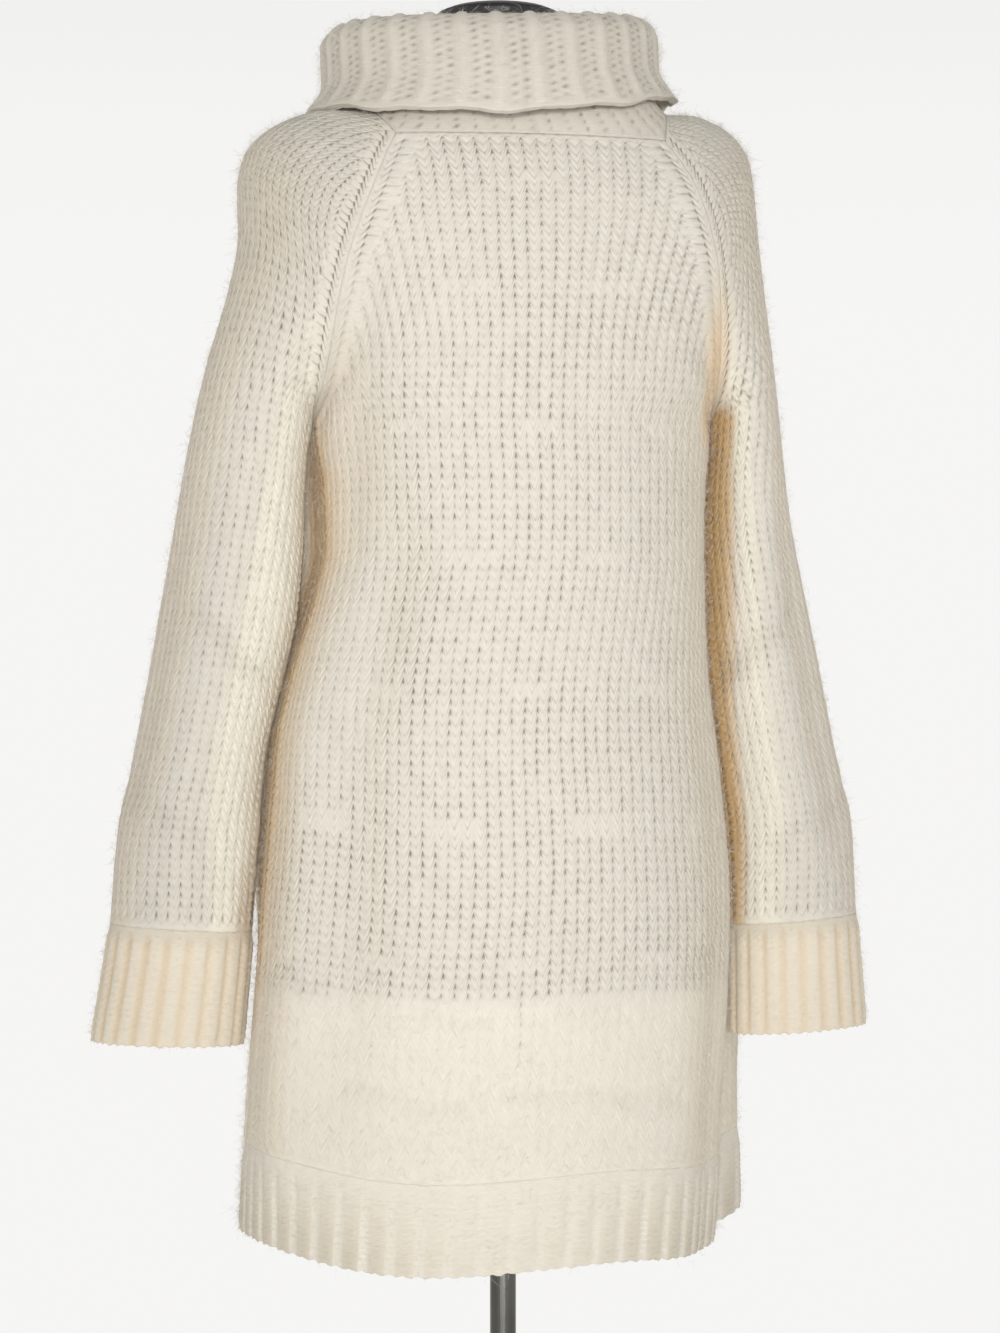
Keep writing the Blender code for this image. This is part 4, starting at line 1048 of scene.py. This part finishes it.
def neck_ring(places):
    """Points and outward normals along the neck seam, clockwise from centre back, at places from 0 to
    1 of its length."""
    across = np.linspace(-1.0, 1.0, NECK_SAMPLES)[:-1]
    tall = np.full(across.shape, NECK)
    parts = [np.concatenate([surface(piece, tall, across), own_normals(piece, tall, across)], axis=1)
             for piece in NEXT]
    data = np.roll(np.concatenate(parts), -(NECK_SAMPLES // 2), axis=0)
    data = np.concatenate([data, data[:1]])
    length = summed(spacing(data[:, :3]))
    ring = np.stack([np.interp(places * length[-1], length, column) for column in data.T], axis=1)
    return ring[:, :3], unit(ring[:, 3:])


def collar_ring(ring, angles):
    """One ring of the collar's middle surface, clockwise from centre back."""
    middle = (ring["back_y"] + ring["front_y"]) / 2.0
    x = ring["half_width"] * np.sin(angles)
    y = middle + (ring["back_y"] - middle) * np.cos(angles)
    end_z = np.where(np.cos(angles) > 0.0, ring["back_z"], ring["front_z"])
    z = ring["side_z"] + (end_z - ring["side_z"]) * np.cos(angles) ** 2 - ring["slope"] * x
    return np.stack([x + ring["sway"], y, z], axis=-1)


def ring_curves(rings, stages):
    """Points at the given stages on smooth curves through a list of rings."""
    control = np.stack(rings).reshape(len(rings), -1)
    keys = np.arange(len(rings), dtype=float)
    curves = np.stack([smooth(keys, column, stages) for column in control.T], axis=-1)
    return curves.reshape((len(stages),) + rings[0].shape)


def round_ring(ring, turn):
    """A closed ring of points with its corners rounded off."""
    total = np.zeros(ring.shape)
    for offset in np.linspace(-ROUNDING, ROUNDING, ROUNDING_SAMPLES):
        at = np.mod(turn + offset, 1.0)
        total += np.stack([np.interp(at, turn, column) for column in ring.T], axis=1)
    return total / ROUNDING_SAMPLES


def collar_middle(turn, stages):
    """The collar's middle surface: columns by turn (0..1), rows by stage (0 at the seam, 6 at the edge).
    Then its outward normals at the seam."""
    points, facing = neck_ring(turn)
    foot = points - facing * WALL / 2.0
    rings = [collar_ring(entry, turn * 2.0 * pi) for entry in records(COLLAR)]
    share = step(stages, 0.0, ROUNDED_STAGE)[:, None, None]
    rounded = ring_curves([round_ring(foot, turn)] + rings, stages)
    return ring_curves([foot] + rings, stages) * (1.0 - share) + rounded * share, facing


def tube_normals(grid):
    """Normals of a grid whose last column repeats its first."""
    wrapped = np.concatenate([grid[:, -2:-1], grid, grid[:, 1:2]], axis=1)
    normals = unit(np.cross(np.gradient(wrapped, axis=1), np.gradient(wrapped, axis=0)))[:, 1:-1]
    normals[:, -1] = normals[:, 0]
    return normals


def collar_relief(leg, down, total, local):
    """Relief of the collar: narrow smooth ridges with two sunken wales of holes between them. Then its
    painted
    shade: how dark its points are, in and round its holes and beside its ridges."""
    phase = np.mod(down, 1.0)
    cast_off = step(total - down, 0.4, 1.4)
    ridge = step(np.abs(leg - 0.5), 0.20, 0.06)
    relief = RIB_HEIGHT * (0.80 * ridge) * cast_off + RIB_HEIGHT * 0.40 * (1.0 - cast_off)
    left = (leg == 0.15) & (phase == 0.0)
    right = (leg == 0.85) & (phase == 0.5)
    hole = (left | right) * local.uniform(*COLLAR_OPEN, relief.shape) * cast_off
    beside = ((leg == 0.0) | (leg == 0.15) | (leg == 0.85)) & (hole == 0.0)
    relief = relief - COLLAR_HOLE * hole + COLLAR_PLY * beside
    relief = relief + ROUGH * local.normal(0.0, 1.0, relief.shape)
    soft = 0.16 * (leg == 0.30) + 0.16 * (leg == 0.70) + 0.10 * (leg == 0.0)
    return relief, np.maximum(spill(hole, 0.5, 0.5), soft * cast_off)


def collar_grid(turn):
    """The collar's rows, its middle surface and the normals of its ribbed side."""
    even = np.linspace(0.0, float(len(COLLAR) - 1), COLLAR_SAMPLES)
    trial, _ = collar_middle(turn[:: len(COLLAR_STEPS)], even)
    length = summed(spacing(trial).mean(axis=1))
    rows = rib_rows(length[-1], COLLAR_COURSE)
    middle, facing = collar_middle(turn, np.interp(rows / rows[-1] * length[-1], length, even))
    blend = step(rows, 1.5, 0.0)[:, None, None]
    return rows, middle, unit(tube_normals(middle) * (1.0 - blend) - facing * blend)


def collar_piece(seed, material):
    """The ribbed collar: a stand that folds over to a loose edge, both faces knitted."""
    places, leg = rib_columns(COLLAR_RIBS, COLLAR_STEPS)
    turn = places / COLLAR_RIBS
    rows, middle, normals = collar_grid(turn)
    down = rows[:, None]
    total = rows[-1]
    local = np.random.default_rng(seed)
    relief, pit = collar_relief(leg, down, total, local)
    relief[:, -1] = relief[:, 0]
    started = step(down, 0.0, 1.0)
    downwards = np.gradient(middle, axis=0)
    climb = rib_climb(COLLAR_CLIMB, leg, down, total) * ROWS_PER_COURSE
    wavy = sum(height * np.sin(2.0 * pi * turn * count + phase) for height, count, phase in COLLAR_WAVES)
    edge = unit(downwards) * (step(down, total - 4.0, total) * wavy)[..., None]
    ribbed = middle + edge - downwards * climb[..., None]
    ribbed = ribbed + normals * (WALL / 2.0 + relief * started)[..., None]
    stand_rib = STAND_RIB * two_waves(leg) * started
    dots = (np.mod(down, 1.0) == 0.0) & ((leg == 0.0) | (leg == 0.5)) & (down > 0.5)
    dots = dots * local.uniform(*STAND_OPEN, dots.shape)
    proud = JOIN + (PROUD - JOIN) * step(down, 0.0, 2.0)
    proud = WALL / 2.0 + proud + stand_rib - STAND_HOLE * dots
    smooth_side = middle + edge - normals * proud[..., None]
    across = np.broadcast_to(turn * 2.0 - 1.0, relief.shape)
    outer = packed_face(plain_face(ribbed, across, rows, places * 2.0, 0), normals, (pit, 0.0, 0.0))
    every = slice(None, None, 2)
    inner = plain_face(smooth_side[every], across[every], rows[every], places * 2.0, 0)
    # Painted shade in the stand's holes and along its first row at the neck seam.
    first_row = (down < 1.0) * local.uniform(0.08, 0.24, dots.shape)
    inner["painted_shading"][:, 0] = (np.maximum(dots, first_row) * (down < STAND_ROWS))[every].ravel()
    return place_mesh(make_wall("collar_rib", outer, inner, 0), material, "collar"), outer


# --- Fuzz ---
rng = np.random.default_rng(20261124)


def fuzz(name, parent, area, material):
    """Fine hairs that stand off a piece's outer face, each of two narrow triangles, in one mesh."""
    count = int(HAIRS * area)
    pick = rng.integers(0, len(parent["points"]), count)
    normal = parent["normals"][pick]
    root = parent["points"][pick] - normal * HAIR_ROOT
    root = root + np.cross(normal, rng.normal(size=(count, 3))) * ROOT_SCATTER
    aside = unit(np.cross(normal, rng.normal(size=(count, 3))))
    rise = rng.uniform(*HAIR_RISE, (count, 1))
    length = HAIR_LENGTH * rng.gamma(4.0, 0.25, (count, 1))
    first = unit(aside + normal * rise)
    bend = unit(rng.normal(size=(count, 3))) * HAIR_BEND - normal * HAIR_CURL - (0.0, 0.0, HAIR_DROOP)
    width = unit(np.cross(first, rng.normal(size=(count, 3)))) * HAIR_WIDTH / 2.0
    middle = root + first * length * 0.5
    tip = middle + unit(first + bend) * length * 0.5
    points = np.stack([root, middle + width, middle - width, tip], axis=1)
    start = np.arange(count)[:, None] * 4
    faces = np.concatenate([start + np.array([0, 1, 2]), start + np.array([1, 3, 2])])
    mesh = bpy.data.meshes.new(name)
    mesh.from_pydata(points.reshape(-1, 3).tolist(), [], faces.tolist())
    mesh.shade_smooth()
    return place_mesh(mesh, material)


# --- Materials ---
WOOL = (0.655, 0.620, 0.555, 1.0)
# Copies of the one wool. The paler, warmer ones for the hem and the cuffs are painted backlight through the
# cloth, and the darker one for the collar is painted shade.
WOOL_HEM = (0.700, 0.660, 0.580, 1.0)
WOOL_CUFF = (0.740, 0.672, 0.560, 1.0)
WOOL_COLLAR = (0.622, 0.583, 0.512, 1.0)
WOOL_WARM = (0.640, 0.588, 0.500, 1.0)
WOOL_PAINTED_BACKLIGHT = (0.725, 0.684, 0.592, 1.0)
STREAK_DARK = (0.90, 0.89, 0.86, 1.0)
STREAK_PALE = (1.05, 1.05, 1.05, 1.0)
# Painted light and shade: PIT is painted shade in holes and creases, LIT is painted light, and DIM is
# painted warm shade between parts and in furrows.
PIT = (0.265, 0.240, 0.185, 1.0)
LIT = (0.800, 0.760, 0.650, 1.0)
DIM = (0.820, 0.500, 0.170, 1.0)
HAIR_PALE = (0.70, 0.66, 0.59, 1.0)
HAIR_WARM = (0.64, 0.595, 0.51, 1.0)
SHEEN_WARM = (1.0, 0.97, 0.91, 1.0)
JERSEY = (0.030, 0.030, 0.032, 1.0), (0.055, 0.052, 0.050, 1.0)
PLASTIC = (0.012, 0.012, 0.013, 1.0), (0.030, 0.029, 0.028, 1.0)
GUNMETAL = (0.105, 0.103, 0.095, 1.0), (0.165, 0.161, 0.147, 1.0)


def new_material(name):
    """A material, its node tree, and the output that gives places in the object's own frame."""
    material = bpy.data.materials.new(name)
    material.use_nodes = True
    return material, material.node_tree, add(material.node_tree, "ShaderNodeTexCoord").outputs["Object"]


def feed(tree, node, values):
    """Gives a node's inputs, by name or number, their constant values or the sockets that feed them."""
    for key, value in values.items():
        if isinstance(value, bpy.types.NodeSocket):
            tree.links.new(value, node.inputs[key])
        else:
            node.inputs[key].default_value = value


def add(tree, kind, values=None, **settings):
    """One node with its settings, and what its inputs take."""
    node = tree.nodes.new(kind)
    for key, value in settings.items():
        setattr(node, key, value)
    feed(tree, node, values or {})
    return node


def mix_colour(tree, factor, a, b, blend="MIX"):
    """A mix of two colours."""
    node = add(tree, "ShaderNodeMix", {0: factor, 6: a, 7: b}, data_type="RGBA", blend_type=blend)
    return node.outputs[2]


def ramp(tree, value, low, high):
    """A value read between low and high, as 0 to 1."""
    values = {0: value, 1: low, 2: high}
    return add(tree, "ShaderNodeMapRange", values, interpolation_type="SMOOTHSTEP").outputs[0]


def times(tree, value, factor):
    """A value times a constant."""
    return add(tree, "ShaderNodeMath", {0: value, 1: factor}, operation="MULTIPLY").outputs[0]


def noise(tree, vector, scale, detail=2.0, roughness=0.5):
    """Noise at a scale over a vector."""
    values = {"Vector": vector, "Scale": scale, "Detail": detail, "Roughness": roughness}
    return add(tree, "ShaderNodeTexNoise", values).outputs["Fac"]


def part_of(tree, vector, part):
    """The X, Y or Z of a vector."""
    return add(tree, "ShaderNodeSeparateXYZ", {0: vector}).outputs[part]


def bumps(tree, height, strength, distance, below=None):
    """A bumpy normal, over another one if there is one below."""
    values = {"Height": height, "Strength": strength, "Distance": distance}
    if below:
        values["Normal"] = below
    return add(tree, "ShaderNodeBump", values).outputs[0]


def shade_with(tree, **values):
    """What the shader's inputs take, each named as in Blender but with _ for a space."""
    named = {key.replace("_", " "): value for key, value in values.items()}
    feed(tree, tree.nodes["Principled BSDF"], named)


def wool(name, base, painted_backlight=None):
    """Soft fuzzy wool. It is darker in the holes and creases, as painted shade, warmer where light reaches
    it second-hand, as painted warm shade, brighter with painted light, and where painted_backlight is set it
    is a warmer cream below the form, as a painted backlight."""
    material, tree, place = new_material(name)
    painted_shading = add(tree, "ShaderNodeAttribute", attribute_name="painted_shading").outputs["Color"]
    pit, lit, warm = add(tree, "ShaderNodeSeparateColor", {0: painted_shading}).outputs
    stitch = add(tree, "ShaderNodeAttribute", attribute_name="stitch").outputs["Vector"]
    along = {"Vector": stitch, "Scale": (0.9, 5.0, 1.0), "Rotation": (0.0, 0.0, 0.12)}
    plies = noise(tree, add(tree, "ShaderNodeMapping", along).outputs[0], 1.6, 3.0, 0.6)
    patches = noise(tree, place, 9.0, 3.0, 0.5)
    colour = mix_colour(tree, ramp(tree, patches, 0.40, 0.66), base, WOOL_WARM)
    colour = mix_colour(tree, times(tree, ramp(tree, patches, 0.60, 0.36), 0.35), base, colour)
    # Painted backlight: below the form the wool turns to a paler, warmer cream.
    if painted_backlight:
        below = ramp(tree, part_of(tree, place, "Z"), FORM_BOTTOM + 0.006, FORM_BOTTOM - 0.012)
        colour = mix_colour(tree, times(tree, below, 0.55), colour, painted_backlight)
    streaks = mix_colour(tree, ramp(tree, plies, 0.30, 0.72), STREAK_DARK, STREAK_PALE)
    colour = mix_colour(tree, 0.55, colour, streaks, "MULTIPLY")
    # Painted warm shade, painted light and painted shade in holes and creases, as the painted_shading
    # attribute gives them.
    colour = mix_colour(tree, times(tree, warm, 0.85), colour, DIM)
    colour = mix_colour(tree, ramp(tree, lit, 0.12, 0.75), colour, LIT)
    colour = mix_colour(tree, ramp(tree, pit, 0.0, 0.95), colour, PIT)
    flecks = noise(tree, place, 420.0, 2.0, 0.6)
    normal = bumps(tree, flecks, 0.35, 0.0005, bumps(tree, plies, 0.5, 0.0007))
    shade_with(tree, Base_Color=colour, Normal=normal, Roughness=0.95, Specular_IOR_Level=0.15,
               Sheen_Weight=0.12, Sheen_Roughness=0.55, Sheen_Tint=SHEEN_WARM)
    return material


def hair_material():
    """The single hairs of the wool."""
    material, tree, place = new_material("wool_fuzz")
    colour = mix_colour(tree, noise(tree, place, 60.0), HAIR_PALE, HAIR_WARM)
    shade_with(tree, Base_Color=colour, Roughness=1.0, Specular_IOR_Level=0.1, Sheen_Weight=0.15)
    return material


def cover_material():
    """The form's stretched jersey cover."""
    material, tree, place = new_material("form_jersey")
    normal = bumps(tree, noise(tree, place, 900.0, 2.0, 0.5), 0.3, 0.0003)
    colour = mix_colour(tree, noise(tree, place, 30.0), *JERSEY)
    shade_with(tree, Base_Color=colour, Normal=normal, Roughness=0.85, Sheen_Weight=0.25)
    return material


def cap_material():
    """The neck cap's moulded black plastic."""
    material, tree, place = new_material("cap_black")
    normal = bumps(tree, noise(tree, place, 700.0, 3.0, 0.6), 0.25, 0.0002)
    colour = mix_colour(tree, noise(tree, place, 25.0), *PLASTIC)
    shade_with(tree, Base_Color=colour, Normal=normal, Roughness=0.38)
    return material


def metal_material(name, stretch):
    """Dark gunmetal with fine brushing. stretch sets which way the brushing runs."""
    material, tree, place = new_material(name)
    along = add(tree, "ShaderNodeMapping", {"Vector": place, "Scale": stretch}).outputs[0]
    brushing = noise(tree, along, 1.0, 4.0, 0.65)
    cloud = noise(tree, place, 14.0, 3.0, 0.5)
    rough = add(tree, "ShaderNodeMapRange", {0: brushing, 1: 0.3, 2: 0.7, 3: 0.26, 4: 0.44}).outputs[0]
    shade_with(tree, Base_Color=mix_colour(tree, ramp(tree, cloud, 0.35, 0.7), *GUNMETAL), Roughness=rough,
               Normal=bumps(tree, brushing, 0.18, 0.0002), Metallic=1.0)
    return material


# --- Stage ---
FLOOR_RADIUS = 14.0
FLOOR = (0.88, 0.87, 0.85, 1.0)
STRIP_WIDTH = 0.30
STRIP_HEIGHT = 1.30
STRIP_SPREAD = 16.0
SKY = (1.0, 0.995, 0.985, 1.0)
SKY_SIDE = (0.84, 0.825, 0.79, 1.0)
SKY_TOP = (0.32, 0.32, 0.32, 1.0)
SKY_STRENGTH = 0.92


def side_sky(tree, way):
    """Colour of the light from a direction near the horizon: dimmer from the dress's two sides."""
    sideways = add(tree, "ShaderNodeMath", {0: part_of(tree, way, "X")}, operation="ABSOLUTE").outputs[0]
    return mix_colour(tree, ramp(tree, sideways, 0.42, 0.95), SKY, SKY_SIDE)


def make_sky():
    """Pale light all round, dimmer from above."""
    world = bpy.data.worlds.new("studio")
    bpy.context.scene.world = world
    bpy.context.scene.view_settings.view_transform = "Standard"
    world.use_nodes = True
    tree = world.node_tree
    way = add(tree, "ShaderNodeTexCoord").outputs["Generated"]
    up = ramp(tree, part_of(tree, way, "Z"), 0.10, 0.80)
    dome = mix_colour(tree, up, side_sky(tree, way), SKY_TOP)
    feed(tree, tree.nodes["Background"], {"Color": dome, "Strength": SKY_STRENGTH})


def make_floor():
    """Pale floor that glows with the light round it, more towards its rim, so that it fades into that light;
    near the dress the glow is painted light that lightens the floor's shadow.
    """
    bpy.ops.mesh.primitive_circle_add(vertices=96, radius=FLOOR_RADIUS, fill_type="TRIFAN")
    floor = bpy.context.active_object
    floor.name = "floor"
    material, tree, place = new_material("floor_pale")
    shade_with(tree, Base_Color=FLOOR, Roughness=0.9)
    length = add(tree, "ShaderNodeVectorMath", {0: place}, operation="LENGTH").outputs["Value"]
    way = add(tree, "ShaderNodeVectorMath", {0: place}, operation="NORMALIZE").outputs["Vector"]
    glow = add(tree, "ShaderNodeEmission", {"Color": side_sky(tree, way), "Strength": SKY_STRENGTH})
    blend = add(tree, "ShaderNodeMixShader", {
        0: ramp(tree, length, -1.4, 1.7), 1: tree.nodes["Principled BSDF"].outputs[0], 2: glow.outputs[0]})
    feed(tree, tree.nodes["Material Output"], {"Surface": blend.outputs[0]})
    floor.data.materials.append(material)


def soft_light(name, place, power):
    """A tall strip light with a grid over it, so that it lights the middle of the dress the most."""
    light = bpy.data.lights.new(name, "AREA")
    light.shape = "RECTANGLE"
    light.size = STRIP_WIDTH
    light.size_y = STRIP_HEIGHT
    light.spread = radians(STRIP_SPREAD)
    light.energy = power
    thing = bpy.data.objects.new(name, light)
    bpy.context.scene.collection.objects.link(thing)
    thing.location = place
    thing.rotation_mode = "QUATERNION"
    aim = Vector((0.0, 0.0, place[2])) - Vector(place)
    thing.rotation_quaternion = aim.to_track_quat("-Z", "Y")


def make_camera():
    """The photograph's view, straight on and a little to one side of centre back."""
    turn = radians(CAMERA_AZIMUTH)
    back = Vector((sin(turn), -cos(turn), 0.0))
    right = Vector((cos(turn), sin(turn), 0.0))
    up = Vector((0.0, 0.0, 1.0))
    camera = bpy.data.cameras.new("camera")
    camera.lens = LENS
    camera.sensor_width = SENSOR
    camera.clip_start = 0.05
    camera.clip_end = 100.0
    thing = bpy.data.objects.new("camera", camera)
    bpy.context.scene.collection.objects.link(thing)
    place = back * CAMERA_DISTANCE + up * CAMERA_HEIGHT + right * CAMERA_ASIDE
    thing.matrix_world = Matrix.Translation(place) @ Matrix((right, up, back)).transposed().to_4x4()
    bpy.context.scene.camera = thing


# --- Build ---
KNITS = (
    ("piece", "node", "bottom", "gauge", "seed"),
    ("back", "back_panel", HEM_TOP, PANEL_GAUGE, 11),
    ("front", "front_panel", HEM_TOP, PANEL_GAUGE, 22),
    ("sleeve_left", "sleeve_left", CUFF_TOP, SLEEVE_GAUGE, 33),
    ("sleeve_right", "sleeve_right", CUFF_TOP, SLEEVE_GAUGE, 44),
)
HEM = {"top": HEM_TOP, "bottom": HEM_EDGE, "ribs": HEM_RIBS, "course": HEM_COURSE}
CUFF = {"top": CUFF_TOP, "bottom": CUFF_EDGE, "ribs": CUFF_RIBS, "course": CUFF_COURSE}
COLLAR_SEED = 99
KEY_PLACE = (0.74, 4.20, 0.98)        # the other key light is opposite
KEY_POWER = 1.9
FRONT_KEY_POWER = 1.7


def make_form():
    """Materials of the form, its cap, socket, pole and base."""
    drawn = metal_material("gunmetal_drawn", (260.0, 260.0, 6.0))
    turned = metal_material("gunmetal_turned", (9.0, 9.0, 320.0))
    looks = {"form_torso": cover_material(), "form_neck_cap": cap_material(), "form_pole": drawn,
             "form_socket": drawn, "form_base": turned}
    for node, material in looks.items():
        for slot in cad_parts[node].material_slots:
            slot.material = material


def main():
    """Builds everything."""
    make_camera()
    make_sky()
    make_floor()
    soft_light("key", KEY_PLACE, KEY_POWER)
    soft_light("front_key", (-KEY_PLACE[0], -KEY_PLACE[1], KEY_PLACE[2]), FRONT_KEY_POWER)
    body_wool = wool("wool_body", WOOL, WOOL_PAINTED_BACKLIGHT)
    sleeve_wool = wool("wool_sleeve", WOOL)
    hem_wool = wool("wool_hem", WOOL_HEM)
    cuff_wool = wool("wool_cuff", WOOL_CUFF)
    collar_wool = wool("wool_collar", WOOL_COLLAR)
    hair = hair_material()
    pieces = [knit_piece(**knit, material=sleeve_wool if is_sleeve(knit["piece"]) else body_wool)
              for knit in records(KNITS)]
    pieces += [
        rib_band("hem_back", "back", seed=55, material=hem_wool, **HEM),
        rib_band("hem_front", "front", seed=66, material=hem_wool, **HEM),
        rib_band("cuff_left", "sleeve_left", seed=77, material=cuff_wool, **CUFF),
        rib_band("cuff_right", "sleeve_right", seed=88, material=cuff_wool, **CUFF),
        collar_piece(COLLAR_SEED, collar_wool),
    ]
    make_form()
    for cut, (thing, outer) in zip(records(CUT), pieces):
        area = cut["area"] or cut["width"] * cut["length"]
        hairs = fuzz("fuzz_" + cut["piece"], outer, area, hair)


main()
